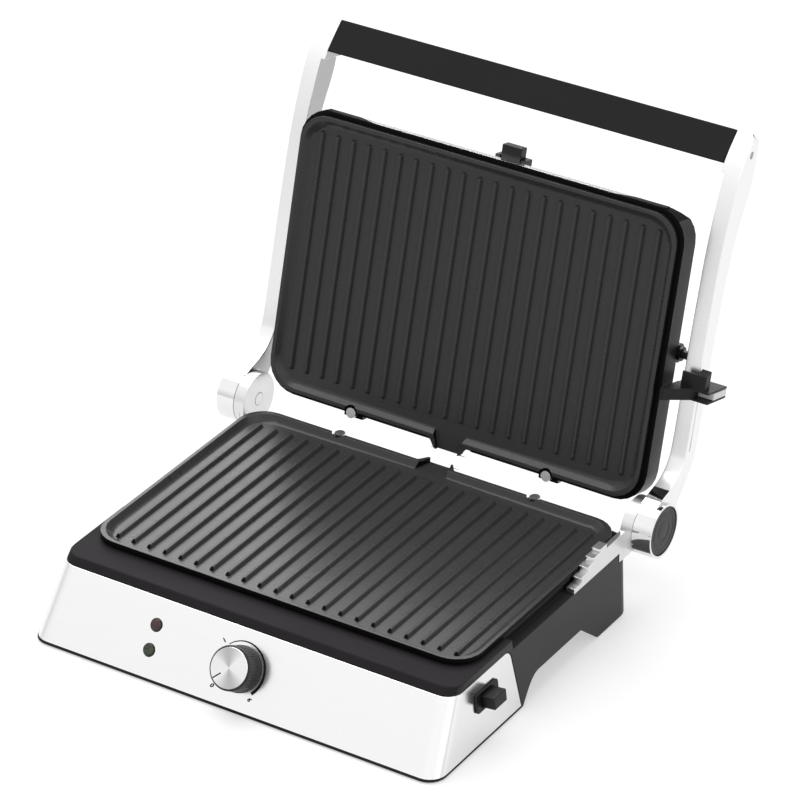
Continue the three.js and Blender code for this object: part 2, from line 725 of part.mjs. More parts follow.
function heater() {
  const side = PLATE_WIDTH / 2 - HEATER_SIDE_MARGIN;
  const front = PLATE_DEPTH - HEATER_FRONT_MARGIN;
  const tail = HEATER_LEVEL + HEATER_TAIL;
  const corners = [
    [-HEATER_TAIL_SPREAD / 2, HEATER_REAR_MARGIN, tail],
    [-HEATER_TAIL_SPREAD / 2, HEATER_REAR_MARGIN, HEATER_LEVEL],
    [-side, HEATER_REAR_MARGIN, HEATER_LEVEL],
    [-side, front, HEATER_LEVEL],
    [side, front, HEATER_LEVEL],
    [side, HEATER_REAR_MARGIN, HEATER_LEVEL],
    [HEATER_TAIL_SPREAD / 2, HEATER_REAR_MARGIN, HEATER_LEVEL],
    [HEATER_TAIL_SPREAD / 2, HEATER_REAR_MARGIN, tail],
  ].map(([x, y, z]) => new THREE.Vector3(x, y, z));
  const tails = [corners.slice(0, 3), corners.slice(5)];
  const loop = bentStops(corners.slice(1, 7), HEATER_BEND, 4);
  const turned = tails.map((tailCorners) => bentStops(tailCorners, HEATER_RADIUS * 2, 3));
  const stops = [...turned[0].slice(0, -1), ...loop.slice(1, -1), ...turned[1].slice(1)];
  return tube(stops, HEATER_RADIUS, HEATER_SIDES);
}

function peg() {
  return roundAlongZ(PEG_RADIUS, PEG_DROP, WELL_LEVEL - GAP, COARSE_SEGMENTS);
}

// The hole that a plate drops into, with its ledge and the notch for the spout.
function wellCut() {
  const inset = FLANGE_OVERHANG - WELL_CLEARANCE;
  const ledge = inset + LEDGE_WIDTH;
  const hole = prism(plateOutline(inset, PLATE_RADIUS - inset), -OVERRUN, BODY_DEPTH + GAP);
  const throat = prism(plateOutline(ledge, PLATE_RADIUS - ledge), 0, WELL_BOTTOM + OVERRUN);
  const spout = box(
    [-SPOUT_WIDTH / 2 - WELL_CLEARANCE, SPOUT_WIDTH / 2 + WELL_CLEARANCE],
    [-SPOUT_LENGTH - OVERRUN, PLATE_RADIUS],
    [-OVERRUN, RIM_HEIGHT + SPOUT_FLOOR + FIT],
  );
  return joined(hole.translate(0, PLATE_DEPTH / 2, 0), throat.translate(0, PLATE_DEPTH / 2, 0), spout);
}

// The collar round the well, from the face inwards.
function wellCollar(depth) {
  const inset = FLANGE_OVERHANG - WELL_CLEARANCE - WELL_WALL;
  return prism(plateOutline(inset, PLATE_RADIUS - inset), WELL_LEVEL, depth).translate(0, PLATE_DEPTH / 2, 0);
}

// Base

const baseFoot = { width: BASE_WIDTH, front: FRONT, rear: FRONT + BASE_DEPTH, level: BASE_STANDOFF };
const baseShoulder = {
  width: BASE_SHOULDER_WIDTH,
  front: FRONT + PANEL_SETBACK,
  rear: FRONT + BASE_DEPTH + REAR_OVERHANG,
  level: SHOULDER_LEVEL,
};
const baseTop = {
  width: BASE_TOP_WIDTH,
  front: FRONT + PANEL_SETBACK + SURROUND_LEAN,
  rear: FRONT + BASE_DEPTH + REAR_OVERHANG,
  level: SURROUND_LEVEL,
};

function baseLower(inset, level = baseShoulder.level) {
  const upper = outlineAt(baseFoot, baseShoulder, level);
  return leaningBlock(shrunk(baseFoot, inset), shrunk(upper, inset), BASE_RADIUS - inset);
}

function inBaseFrame(shape) {
  const place = new THREE.Matrix4().makeRotationX(Math.PI);
  place.setPosition(0, PLATE_REAR, RIM_LEVEL);
  return solid(asGeometry(shape).clone().applyMatrix4(place));
}

function archPoints(clearance) {
  const points = [];
  const rise = ARCH_HEIGHT - BASE_STANDOFF;
  const low = BASE_STANDOFF - OVERRUN;
  points.push([FRONT + ARCH_FOOT - clearance, low]);
  for (let step = 0; step <= ARCH_STEPS; step += 1) {
    const share = step / ARCH_STEPS;
    const swell = Math.sin(QUARTER * share);
    points.push([
      FRONT + ARCH_FOOT - clearance + (ARCH_START - ARCH_FOOT) * share,
      BASE_STANDOFF + rise * swell + clearance,
    ]);
  }
  points.push([FRONT + ARCH_END + clearance / 2, ARCH_HEIGHT + clearance]);
  points.push([FRONT + ARCH_HEEL + clearance, BASE_STANDOFF]);
  points.push([FRONT + ARCH_HEEL + clearance, low]);
  return points;
}

function apronOutline(clearance) {
  return filletedPoints([
    [FRONT - OVERRUN, APRON_BOTTOM - clearance],
    [FRONT + APRON_REAR_LOW + clearance, APRON_BOTTOM - clearance],
    [FRONT + APRON_REAR_HIGH + clearance, SHOULDER_LEVEL + clearance, APRON_CORNER],
    [FRONT - OVERRUN, SHOULDER_LEVEL + clearance],
  ]);
}

function apronRegion(clearance) {
  return solid(sidePrism(apronOutline(clearance), -BASE_WIDTH, BASE_WIDTH));
}

function inPanelFrame(shape) {
  const place = new THREE.Matrix4().makeRotationX(PANEL_ANGLE);
  place.setPosition(0, FRONT, BASE_STANDOFF);
  return solid(shape.clone().applyMatrix4(place));
}

function inSideFrame(shape) {
  const place = new THREE.Matrix4().makeRotationY(-SIDE_LEAN);
  place.setPosition(BASE_WIDTH / 2, FRONT + BUTTON_FROM_FRONT, BASE_STANDOFF);
  return solid(shape.clone().applyMatrix4(place));
}

// The red lens above the green one.
const lensHeights = [LENS_HEIGHT_ON_PANEL + LENS_SPACING, LENS_HEIGHT_ON_PANEL];

function panelHoles(clearance) {
  const deep = BASE_WALL + OVERRUN;
  const shaft = roundAlongZ(THERMOSTAT_NECK_RADIUS + clearance, -deep, OVERRUN, MEDIUM_SEGMENTS);
  const lenses = lensHeights.map((height) =>
    roundAlongZ(LENS_RADIUS + clearance, -deep, OVERRUN, MEDIUM_SEGMENTS).translate(LENS_OFFSET, height, 0),
  );
  return [shaft.translate(0, DIAL_HEIGHT_ON_PANEL, 0), ...lenses].map(inPanelFrame);
}

function buttonHole(clearance) {
  return inSideFrame(
    box(
      [-BASE_WALL - OVERRUN, OVERRUN],
      [-BUTTON_LENGTH / 2 - clearance, BUTTON_LENGTH / 2 + clearance],
      [BUTTON_LEVEL - BUTTON_HEIGHT / 2 - clearance, BUTTON_LEVEL + BUTTON_HEIGHT / 2 + clearance],
    ),
  );
}

// The recess along each side: beside the plate, then lower under the hinge.
function railCuts(grow) {
  const inner = PLATE_WIDTH / 2 - FLANGE_OVERHANG + WELL_CLEARANCE + WELL_WALL - grow;
  const outer = BASE_WIDTH;
  const top = SURROUND_LEVEL + OVERRUN;
  const rear = FRONT + BASE_DEPTH + REAR_OVERHANG + OVERRUN;
  return LEFT_AND_RIGHT.flatMap((side) => {
    const across = side < 0 ? [-outer, -inner] : [inner, outer];
    return [
      box(across, [FRONT + RAIL_START - grow, rear], [RAIL_LEVEL - grow, top]),
      box(across, [FRONT + RAIL_LOW_START - grow, rear], [RAIL_LOW_LEVEL - grow, top]),
    ];
  });
}

function pegBosses() {
  const rear = PLATE_REAR + PEG_SETBACK + PEG_RADIUS + GAP;
  return LEFT_AND_RIGHT.map((side) =>
    box(
      [(side * PEG_SPREAD) / 2 - PEG_RADIUS * 2, (side * PEG_SPREAD) / 2 + PEG_RADIUS * 2],
      [PLATE_REAR - FLANGE_OVERHANG, rear],
      [SURROUND_LEVEL - WELL_LEVEL, SURROUND_LEVEL],
    ),
  );
}

function baseHousing() {
  const upper = leaningBlock(baseShoulder, baseTop, BASE_TOP_RADIUS);
  const outside = cut(joined(baseLower(0), upper, ...pegBosses()), ...railCuts(0));
  const innerLow = shrunk(outlineAt(baseFoot, baseShoulder, baseFoot.level - OVERRUN), BASE_WALL);
  const innerHigh = shrunk(outlineAt(baseFoot, baseShoulder, SURROUND_LEVEL - BASE_WALL), BASE_WALL);
  const inside = solid(leaningBlock(innerLow, innerHigh, BASE_RADIUS - BASE_WALL));
  const collar = inBaseFrame(wellCollar(WELL_BOTTOM));
  const hollow = cut(inside, collar, ...railCuts(BASE_WALL));
  const pocket = apronRegion(GAP).intersect(cut(baseLower(-OVERRUN), baseLower(STEEL + STEEL_INSET + GAP)));
  const arch = sidePrism(archPoints(0), -BASE_WIDTH, BASE_WIDTH);
  const inlet = box(
    [INLET_OFFSET - INLET_WIDTH / 2, INLET_OFFSET + INLET_WIDTH / 2],
    [FRONT + BASE_DEPTH - BASE_WALL * 2, FRONT + BASE_DEPTH + REAR_OVERHANG + OVERRUN],
    [INLET_LEVEL - INLET_HEIGHT / 2, INLET_LEVEL + INLET_HEIGHT / 2],
  );
  return cut(
    outside,
    hollow,
    inBaseFrame(wellCut()),
    pocket,
    arch,
    inlet,
    ...panelHoles(GAP),
    buttonHole(FIT),
  );
}

function steelApron() {
  const shell = cut(baseLower(STEEL_INSET), baseLower(STEEL_INSET + STEEL));
  return cut(shell.intersect(apronRegion(0)), ...panelHoles(GAP), buttonHole(FIT));
}

function bottomCover() {
  const arch = archPoints(COVER_SHEET).slice(1, -1);
  const lower = BASE_STANDOFF + COVER_SHEET;
  const front = FRONT;
  const rear = FRONT + BASE_DEPTH + REAR_OVERHANG;
  const raised = arch.map(([along, level]) => [along, Math.max(level, lower)]);
  const underside = [[front, lower], ...raised, [rear, lower]];
  const topside = underside.map(([along, level]) => [along, level + COVER_SHEET]).reverse();
  const sheet = sidePrism([...underside, ...topside], -BASE_WIDTH, BASE_WIDTH);
  return solid(sheet).intersect(solid(baseLower(BASE_WALL + GAP)));
}

function rubberFoot() {
  return roundAlongZ(FOOT_RADIUS, 0, BASE_STANDOFF + COVER_SHEET - GAP, MEDIUM_SEGMENTS);
}

// Controls

function dialKnob() {
  const points = [];
  const count = DIAL_FLUTES * 4;
  for (let step = 0; step < count; step += 1) {
    const angle = (2 * Math.PI * step) / count;
    const raised = step % 4 < 2;
    const radius = DIAL_BASE_RADIUS - (raised ? 0 : DIAL_FLUTE_DEPTH);
    points.push([radius * Math.cos(angle), radius * Math.sin(angle)]);
  }
  const geometry = prism(points, DIAL_COLLAR, DIAL_COLLAR + DIAL_LENGTH);
  const position = geometry.attributes.position;
  const taper = DIAL_RADIUS / DIAL_BASE_RADIUS;
  for (let index = 0; index < position.count; index += 1) {
    if (position.getZ(index) > DIAL_LENGTH / 2) {
      position.setXY(index, position.getX(index) * taper, position.getY(index) * taper);
    }
  }
  const top = DIAL_COLLAR + DIAL_LENGTH;
  const seatLevel = top - DIAL_FACE_THICKNESS + DIAL_FACE_RAISE;
  const seat = roundAlongZ(DIAL_FACE_RADIUS + GAP, seatLevel, top + OVERRUN, FINE_SEGMENTS);
  const bore = roundAlongZ(SHAFT_RADIUS + GAP, -OVERRUN, DIAL_LENGTH / 2 + GAP, MEDIUM_SEGMENTS);
  const hollow = roundAlongZ(THERMOSTAT_NECK_RADIUS * 2, -OVERRUN, DIAL_LENGTH / 4, MEDIUM_SEGMENTS);
  return cut(geometry, seat, bore, hollow);
}

function dialFace() {
  const low = DIAL_COLLAR + DIAL_LENGTH - DIAL_FACE_THICKNESS + DIAL_FACE_RAISE + GAP;
  return roundAlongZ(DIAL_FACE_RADIUS, low, low + DIAL_FACE_THICKNESS - GAP, FINE_SEGMENTS);
}

function dialShaft() {
  return roundAlongZ(SHAFT_RADIUS, -BASE_WALL - GAP, DIAL_LENGTH / 2, MEDIUM_SEGMENTS);
}

function thermostat() {
  const panel = BASE_WALL + GAP;
  const body = roundAlongZ(THERMOSTAT_RADIUS, -panel - THERMOSTAT_LENGTH, -panel, MEDIUM_SEGMENTS);
  const neck = roundAlongZ(THERMOSTAT_NECK_RADIUS, -panel - OVERRUN, DIAL_COLLAR, MEDIUM_SEGMENTS);
  const bore = roundAlongZ(SHAFT_RADIUS + GAP, -panel - GAP * 2, OVERRUN, MEDIUM_SEGMENTS);
  return cut(joined(body, neck), bore);
}

function lens() {
  const dome = roundAlongZ(LENS_RADIUS, 0, LENS_RAISE, MEDIUM_SEGMENTS, LENS_RADIUS - LENS_RAISE);
  return joined(roundAlongZ(LENS_RADIUS, -LENS_LENGTH, LENS_RAISE / 2, MEDIUM_SEGMENTS), dome);
}

function lampBoard() {
  const [high, low] = lensHeights;
  const top = -LENS_LENGTH - GAP;
  return box(
    [LENS_OFFSET - LAMP_BOARD_WIDTH / 2, LENS_OFFSET + LAMP_BOARD_WIDTH / 2],
    [low - LAMP_BOARD_MARGIN, high + LAMP_BOARD_MARGIN],
    [top - LAMP_BOARD_THICKNESS, top],
  );
}

function releaseBezel() {
  const outline = roundedPoints(BEZEL_LENGTH, BEZEL_HEIGHT, BEZEL_RADIUS, 3);
  const plate = sidePrism(outline, GAP - STEEL_INSET, BEZEL_THICKNESS).translate(0, 0, BUTTON_LEVEL);
  const hole = box(
    [-OVERRUN, BEZEL_THICKNESS + OVERRUN],
    [-BUTTON_LENGTH / 2 - FIT, BUTTON_LENGTH / 2 + FIT],
    [BUTTON_LEVEL - BUTTON_HEIGHT / 2 - FIT, BUTTON_LEVEL + BUTTON_HEIGHT / 2 + FIT],
  );
  return cut(plate, hole);
}

function releaseButton() {
  const block = box(
    [-BUTTON_ROOT, BUTTON_REACH],
    [-BUTTON_LENGTH / 2, BUTTON_LENGTH / 2],
    [BUTTON_LEVEL - BUTTON_HEIGHT / 2, BUTTON_LEVEL + BUTTON_HEIGHT / 2],
  );
  const stem = roundAlongX(STEM_RADIUS, -BUTTON_ROOT - STEM_LENGTH, -BUTTON_ROOT + OVERRUN, COARSE_SEGMENTS);
  return joined(block, stem.translate(0, 0, BUTTON_LEVEL));
}

function releaseSpring() {
  const start = -GUIDE_OFFSET + GAP;
  const length = -BUTTON_ROOT - GAP - start;
  const wound = coil(SPRING_RADIUS - SPRING_WIRE, SPRING_WIRE, start, length, SPRING_TURNS);
  return wound.translate(0, 0, BUTTON_LEVEL);
}

function releaseGuide() {
  const wide = BUTTON_LENGTH / 2 + FIT * 2;
  const inner = -BASE_WALL - GAP;
  const block = box(
    [-GUIDE_OFFSET - GUIDE_THICKNESS, inner],
    [-wide - GUIDE_THICKNESS, wide + GUIDE_THICKNESS],
    [BUTTON_LEVEL - BUTTON_HEIGHT / 2, BUTTON_LEVEL + BUTTON_HEIGHT / 2],
  );
  const room = box([-GUIDE_OFFSET, OVERRUN], [-wide, wide], [0, BUTTON_LEVEL * 2]);
  const hole = roundAlongX(STEM_RADIUS + FIT, -GUIDE_OFFSET - OVERRUN * 2, 0, COARSE_SEGMENTS);
  return cut(block, room, hole.translate(0, 0, BUTTON_LEVEL));
}

// Hinge brackets, pins and caps
function plainBracketOutline() {
  const start = HINGE_FROM_FRONT - DRUM_RADIUS;
  const low = RAIL_LOW_LEVEL + GAP;
  return [
    [start, low],
    [BRACKET_REAR, low],
    [BRACKET_REAR, HINGE_LEVEL],
    [start, HINGE_LEVEL],
  ];
}

// The right bracket has steps for the foot of the height stop, each with a lip.
function combOutline() {
  const rail = RAIL_LEVEL + GAP;
  const low = RAIL_LOW_LEVEL + GAP;
  const levels = COMB_STEP_SHARES.map((share) => RAIL_LEVEL + COMB_HEIGHT * share);
  const outline = [
    [COMB_START, rail],
    [RAIL_LOW_START + GAP, rail],
    [RAIL_LOW_START + GAP, low],
    [BRACKET_REAR, low],
    [BRACKET_REAR, BRACKET_LEVEL],
    [COMB_END, BRACKET_LEVEL],
    [COMB_END, levels[levels.length - 1]],
  ];
  for (let step = levels.length - 1; step > 0; step -= 1) {
    const edge = COMB_START + step * COMB_STEP_DEPTH;
    const level = levels[step];
    outline.push(
      [edge, level],
      [edge, level - COMB_LIP_THICKNESS],
      [edge + COMB_LIP_OVERHANG, level - COMB_LIP_THICKNESS],
      [edge + COMB_LIP_OVERHANG, levels[step - 1]],
    );
  }
  outline.push([COMB_START, levels[0]]);
  return outline;
}

function inBase(outline) {
  return outline.map(([along, level]) => [FRONT + along, level]);
}

function bracketPlate(side) {
  if (side < 0) {
    return sidePrism(inBase(plainBracketOutline()), -BRACKET_OUTER, -DRUM_INNER_START);
  }
  const comb = sidePrism(inBase(combOutline()), BRACKET_INNER, BRACKET_OUTER);
  const behind = box(
    [BRACKET_INNER - OVERRUN, DRUM_INNER_START],
    [FRONT + COMB_END, FRONT + BRACKET_REAR + OVERRUN],
    [0, BRACKET_LEVEL + OVERRUN],
  );
  return cut(comb, behind);
}

function hingeBracket(side) {
  const [drumStart, drumEnd] = across(side, DRUM_INNER_START, DRUM_SEAM - GAP);
  const drum = roundAlongX(DRUM_RADIUS, drumStart, drumEnd, FINE_SEGMENTS);
  const [boreStart, boreEnd] = across(side, DRUM_INNER_START - OVERRUN, DRUM_SEAM + OVERRUN);
  const bore = roundAlongX(PIN_RADIUS + GAP, boreStart, boreEnd, MEDIUM_SEGMENTS);
  [drum, bore].forEach((shape) => shape.translate(0, HINGE_Y, HINGE_LEVEL));
  return cut(joined(bracketPlate(side), drum), bore);
}

function hingePin(side) {
  const [start, end] = across(side, DRUM_INNER_START, PIN_END);
  return roundAlongX(PIN_RADIUS, start, end, MEDIUM_SEGMENTS);
}

function hingeCap(side) {
  const [start, end] = across(side, CAP_INNER, CAP_OUTER);
  return roundAlongX(CAP_RADIUS, start, end, FINE_SEGMENTS);
}

// Power inlet

function powerInlet() {
  const rear = FRONT + BASE_DEPTH;
  const block = box(
    [INLET_OFFSET - INLET_WIDTH / 2 + GAP, INLET_OFFSET + INLET_WIDTH / 2 - GAP],
    [rear - INLET_DEPTH, rear + INLET_DEPTH],
    [INLET_LEVEL - INLET_HEIGHT / 2 + GAP, INLET_LEVEL + INLET_HEIGHT / 2 - GAP],
  );
  const reach = INLET_DEPTH + OVERRUN;
  const bore = roundAlongY(INLET_BORE_RADIUS, rear - reach, rear + reach, COARSE_SEGMENTS);
  return cut(block, bore.translate(INLET_OFFSET, 0, INLET_LEVEL));
}

// Lid
// Frame of the lid: closed, with the hinge axis as X, Y to the rear and Z up. An outline point
// is given as its distance from the hinge to the front and its height over the hinge plane.

function lidOutline(points) {
  return points.map(([along, level, ...rest]) => [-along, level, ...rest]);
}

function gripFrame() {
  const face = new THREE.Vector2(GRIP_HIGH[0] - GRIP_LOW[0], GRIP_HIGH[1] - GRIP_LOW[1]);
  const width = face.length();
  const along = face.clone().normalize();
  const back = new THREE.Vector2(-along.y, along.x);
  const at = (share, depth) => [
    GRIP_LOW[0] + along.x * width * share + back.x * depth,
    GRIP_LOW[1] + along.y * width * share + back.y * depth,
  ];
  return { at, width };
}

function gripOutline(grow) {
  const { at, width } = gripFrame();
  const edge = grow / width;
  const soft = GRIP_DEPTH / 4;
  return filletedPoints(
    lidOutline([
      [...at(-edge, 0), soft / 4],
      [...at(1 + edge, 0), soft / 4],
      [...at(1 + edge, GRIP_DEPTH * 0.62), soft],
      [...at(0.72, GRIP_DEPTH + grow), soft],
      [...at(0.34, GRIP_DEPTH + grow), soft],
      [...at(0.16, GRIP_DEPTH * 0.7), soft],
    ]),
    3,
  );
}

// The side view of an arm, from the drum to the grip.
function armOutline(inset) {
  const { at } = gripFrame();
  const drum = DRUM_RADIUS;
  const straight = ARM_STRAIGHT_START;
  const end = ARM_STRAIGHT_END;
  const bend = GRIP_LOW[0] - end;
  const front = [
    [drum * 0.8, -drum * 0.62 + inset],
    [straight * 0.385, -ARM_FRONT * 0.28 + inset],
    [straight * 0.45, -ARM_FRONT * 0.06 + inset],
    [straight * 0.53, ARM_FRONT * 0.3 + inset],
    [straight * 0.645, ARM_FRONT * 0.64 + inset],
    [straight * 0.79, ARM_FRONT * 0.87 + inset],
    [straight, ARM_FRONT + inset],
    [end, ARM_FRONT + inset],
    [end + bend * 0.46, ARM_FRONT + bend * 0.013 + inset],
    [end + bend * 0.65, ARM_FRONT + bend * 0.03 + inset],
    [end + bend * 0.85, ARM_FRONT + bend * 0.062 + inset],
    [GRIP_LOW[0] - inset, GRIP_LOW[1] + inset],
    [GRIP_HIGH[0] - inset, GRIP_HIGH[1] + inset / 2],
  ];
  const top = at(1, GRIP_DEPTH * 0.62);
  const heel = at(0.72, GRIP_DEPTH);
  const back = [
    [top[0] - inset, top[1] - inset],
    [heel[0] - inset, heel[1] - inset],
    [heel[0] - GRIP_DEPTH - inset, heel[1] - inset / 2],
    [end + bend * 0.85, ARM_BACK + bend * 0.13 - inset],
    [end + bend * 0.65, ARM_BACK + bend * 0.058 - inset],
    [end + bend * 0.4, ARM_BACK + bend * 0.02 - inset],
    [end, ARM_BACK - inset],
    [straight, ARM_BACK - inset],
    [straight * 0.8, ARM_BACK * 0.94 - inset],
    [straight * 0.5, ARM_BACK * 0.77 - inset],
    [drum * 0.42, drum * 0.9 - inset],
  ];
  return lidOutline([...smoothedLine(front), ...smoothedLine(back)]);
}

// The front view of the right arm: across and along the lid.
function armFront(side, inset) {
  const stub = GRIP_LOW[0] - GRIP_DEPTH / 2 + inset;
  const points = [
    [ARM_INNER + inset, 0],
    [ARM_OUTER - inset, 0],
    [ARM_OUTER - inset, GRIP_HIGH[0] + OVERRUN - inset, ARM_TOP_RADIUS],
    [GRIP_END + GAP - (inset > 0 ? OVERRUN : 0), GRIP_HIGH[0] + OVERRUN - inset],
    [GRIP_END + GAP - (inset > 0 ? OVERRUN : 0), stub],
    [ARM_INNER + inset, stub],
  ];
  return filletedPoints(points.map(([acrossAt, along, radius]) => [side * acrossAt, -along, radius]));
}

function lidArm(side) {
  const reach = GRIP_HIGH[0] + GRIP_DEPTH;
  const [start, end] = across(side, GRIP_END - OVERRUN, ARM_OUTER + OVERRUN);
  const profile = solid(sidePrism(armOutline(0), start, end));
  const band = profile.intersect(solid(prism(armFront(side, 0), -DRUM_RADIUS, reach)));
  const [drumStart, drumEnd] = across(side, DRUM_SEAM, DRUM_OUTER_END);
  const drum = roundAlongX(DRUM_RADIUS, drumStart, drumEnd, FINE_SEGMENTS);
  const channelTop = ARM_BACK * 2;
  const inside = joined(
    sidePrism(armOutline(ARM_WALL), start, end),
    box([start, end], [-SLOT_END, -ARM_STRAIGHT_START], [ARM_FRONT + ARM_WALL, channelTop]),
  );
  const core = box(
    across(side, ARM_INNER + ARM_WALL, ARM_OUTER - ARM_WALL),
    [-GRIP_LOW[0] + GRIP_DEPTH, -DRUM_RADIUS - ARM_WALL * 2],
    [ARM_WALL, channelTop],
  );
  const channel = inside.intersect(solid(core));
  const swing = roundAlongX(
    DRUM_RADIUS + FIT,
    ...across(side, ARM_INNER - OVERRUN, DRUM_SEAM),
    FINE_SEGMENTS,
  );
  const bore = roundAlongX(
    PIN_RADIUS + GAP,
    ...across(side, DRUM_SEAM - OVERRUN, PIN_END + GAP),
    MEDIUM_SEGMENTS,
  );
  const seat = roundAlongX(
    CAP_RADIUS + GAP,
    ...across(side, CAP_INNER - GAP, DRUM_OUTER_END + OVERRUN),
    FINE_SEGMENTS,
  );
  const pivot = roundAlongX(
    TILT_PIN_RADIUS + GAP,
    ...across(side, ARM_INNER - OVERRUN, ARM_INNER + ARM_WALL + OVERRUN),
    MEDIUM_SEGMENTS,
  ).translate(0, -TILT_PIVOT_ALONG, TILT_PIVOT_LEVEL);
  const holes = [swing, bore, seat, pivot, gripFastener(side, GAP), gripCore(GAP)];
  let arm = cut(joined(band, drum), channel, ...holes);
  if (side > 0) {
    const slot = box(
      [ARM_OUTER - ARM_WALL - OVERRUN, ARM_OUTER + OVERRUN],
      [-SLOT_END, -SLOT_START],
      [SLOT_LEVEL - SLOT_WIDTH / 2, SLOT_LEVEL + SLOT_WIDTH / 2],
    );
    arm = cut(arm, slot);
  }
  return arm;
}

function gripMiddle() {
  const { at } = gripFrame();
  const [along, level] = at(0.5, GRIP_DEPTH / 2);
  return [0, -along, level];
}

function gripCore(grow) {
  const end = GRIP_END + GRIP_CORE_REACH + grow;
  return roundAlongX(GRIP_CORE_RADIUS + grow, -end, end, COARSE_SEGMENTS).translate(...gripMiddle());
}

function grip() {
  return cut(sidePrism(gripOutline(0), -GRIP_END, GRIP_END), gripCore(GAP));
}

function gripFastener(side, grow) {
  const inner = GRIP_END + GRIP_CORE_REACH + GAP * 2 - grow;
  const outer = ARM_OUTER - GAP + (grow > 0 ? OVERRUN : 0);
  const [start, end] = across(side, inner, outer);
  return roundAlongX(GRIP_SCREW_RADIUS + grow, start, end, COARSE_SEGMENTS).translate(...gripMiddle());
}

// Upper unit

const frameFoot = {
  width: 2 * FRAME_SIDE,
  front: -FRAME_FRONT,
  rear: -UPPER_PLATE_START + FRAME_MARGIN,
  level: FRAME_LEVEL,
};

function inLidFrame(shape) {
  const place = new THREE.Matrix4().makeRotationZ(Math.PI);
  place.setPosition(0, -UPPER_PLATE_START, UPPER_RIM_LEVEL);
  return solid(asGeometry(shape).clone().applyMatrix4(place));
}

// The steel nose along the front edge, seen from the side.
function noseOutline(grow) {
  const front = frameFoot.front;
  return [
    [front - OVERRUN, FRAME_LEVEL + FIT - grow],
    [front + STEEL + grow, FRAME_LEVEL + FIT - grow],
    [front + STEEL + grow, NOSE_LEVEL - grow],
    [front + NOSE_DEPTH + STEEL, FRAME_BACK_LEVEL - grow],
    [front + NOSE_DEPTH + STEEL, FRAME_BACK_LEVEL + OVERRUN],
    [front - OVERRUN, FRAME_BACK_LEVEL + OVERRUN],
  ];
}

function tiltBosses(grow) {
  return LEFT_AND_RIGHT.map((side) =>
    roundAlongX(
      TILT_BOSS_RADIUS + grow,
      ...across(side, TILT_PIN_INNER, FRAME_SIDE - GAP + grow),
      MEDIUM_SEGMENTS,
    ).translate(0, -TILT_PIVOT_ALONG, TILT_PIVOT_LEVEL),
  );
}

function tiltBores() {
  return LEFT_AND_RIGHT.map((side) =>
    roundAlongX(
      TILT_PIN_RADIUS + GAP,
      ...across(side, TILT_PIN_INNER - OVERRUN, FRAME_SIDE + OVERRUN),
      MEDIUM_SEGMENTS,
    ).translate(0, -TILT_PIVOT_ALONG, TILT_PIVOT_LEVEL),
  );
}

function upperGuideBox(grow) {
  const halfWidth = UPPER_GUIDE_WIDTH / 2 - grow;
  return box(
    [UPPER_BUTTON_OFFSET - halfWidth, UPPER_BUTTON_OFFSET + halfWidth],
    [-UPPER_GUIDE_END, -UPPER_GUIDE_START - grow],
    [UPPER_GUIDE_LEVEL + grow, UPPER_GUIDE_LEVEL + UPPER_GUIDE_DEPTH - grow],
  );
}

function upperFrame() {
  const { width, front, rear } = frameFoot;
  const middle = (front + rear) / 2;
  const outline = roundedPoints(width, rear - front, FRAME_RADIUS);
  const outside = prism(outline, FRAME_LEVEL, FRAME_BACK_LEVEL).translate(0, middle, 0);
  const bosses = LEFT_AND_RIGHT.map((side) =>
    box(
      [(side * PEG_SPREAD) / 2 - PEG_RADIUS * 2, (side * PEG_SPREAD) / 2 + PEG_RADIUS * 2],
      [rear - FRAME_MARGIN, -UPPER_PLATE_START + PEG_SETBACK + PEG_RADIUS + GAP],
      [FRAME_LEVEL, FRAME_LEVEL + WELL_LEVEL],
    ),
  );
  const innerOutline = roundedPoints(
    width - 2 * FRAME_WALL,
    rear - front - 2 * FRAME_WALL,
    FRAME_RADIUS - FRAME_WALL,
  );
  const inside = prism(innerOutline, FRAME_LEVEL + FRAME_WALL, FRAME_BACK_LEVEL + OVERRUN);
  inside.translate(0, middle, 0);
  const collar = inLidFrame(wellCollar(WELL_BOTTOM));
  const noseRoom = sidePrism(noseOutline(GAP), -NOSE_HALF_WIDTH - GAP, NOSE_HALF_WIDTH + GAP);
  const plugEnd = NOSE_HALF_WIDTH + FRAME_WALL;
  const nosePlug = sidePrism(noseOutline(GAP + FRAME_WALL), -plugEnd, plugEnd);
  const hollow = cut(inside, collar, nosePlug);
  const shell = cut(joined(outside, ...bosses), hollow, inLidFrame(wellCut()), noseRoom, upperGuideBox(0));
  return cut(shell, ...tiltBosses(GAP));
}

function backBlock(inset) {
  const { width, front, rear } = frameFoot;
  const bottom = FRAME_BACK_LEVEL + GAP - (inset > 0 ? OVERRUN : 0);
  const low = shrunk({ width, front, rear, level: bottom }, inset);
  const high = shrunk({ width, front, rear, level: BACK_LEVEL - inset }, BACK_INSET + inset);
  return leaningBlock(low, high, FRAME_RADIUS);
}

// The stretch of the back that runs down over the front edge of the frame.
function noseBlock(inset) {
  const front = frameFoot.front;
  const past = inset > 0 ? OVERRUN : 0;
  return box(
    [-NOSE_HALF_WIDTH - past, NOSE_HALF_WIDTH + past],
    [front + inset, front + NOSE_DEPTH * 3 + past],
    [FRAME_LEVEL + FIT - past, FRAME_BACK_LEVEL + GAP + past / 2],
  );
}

function noseSlope(inset) {
  const front = frameFoot.front;
  return sidePrism(
    [
      [front - OVERRUN, NOSE_LEVEL],
      [front + inset, NOSE_LEVEL],
      [front + BACK_INSET + inset, BACK_LEVEL],
      [front + BACK_INSET + inset, BACK_LEVEL + OVERRUN],
      [front - OVERRUN, BACK_LEVEL + OVERRUN],
    ],
    -NOSE_HALF_WIDTH - inset,
    NOSE_HALF_WIDTH + inset,
  );
}

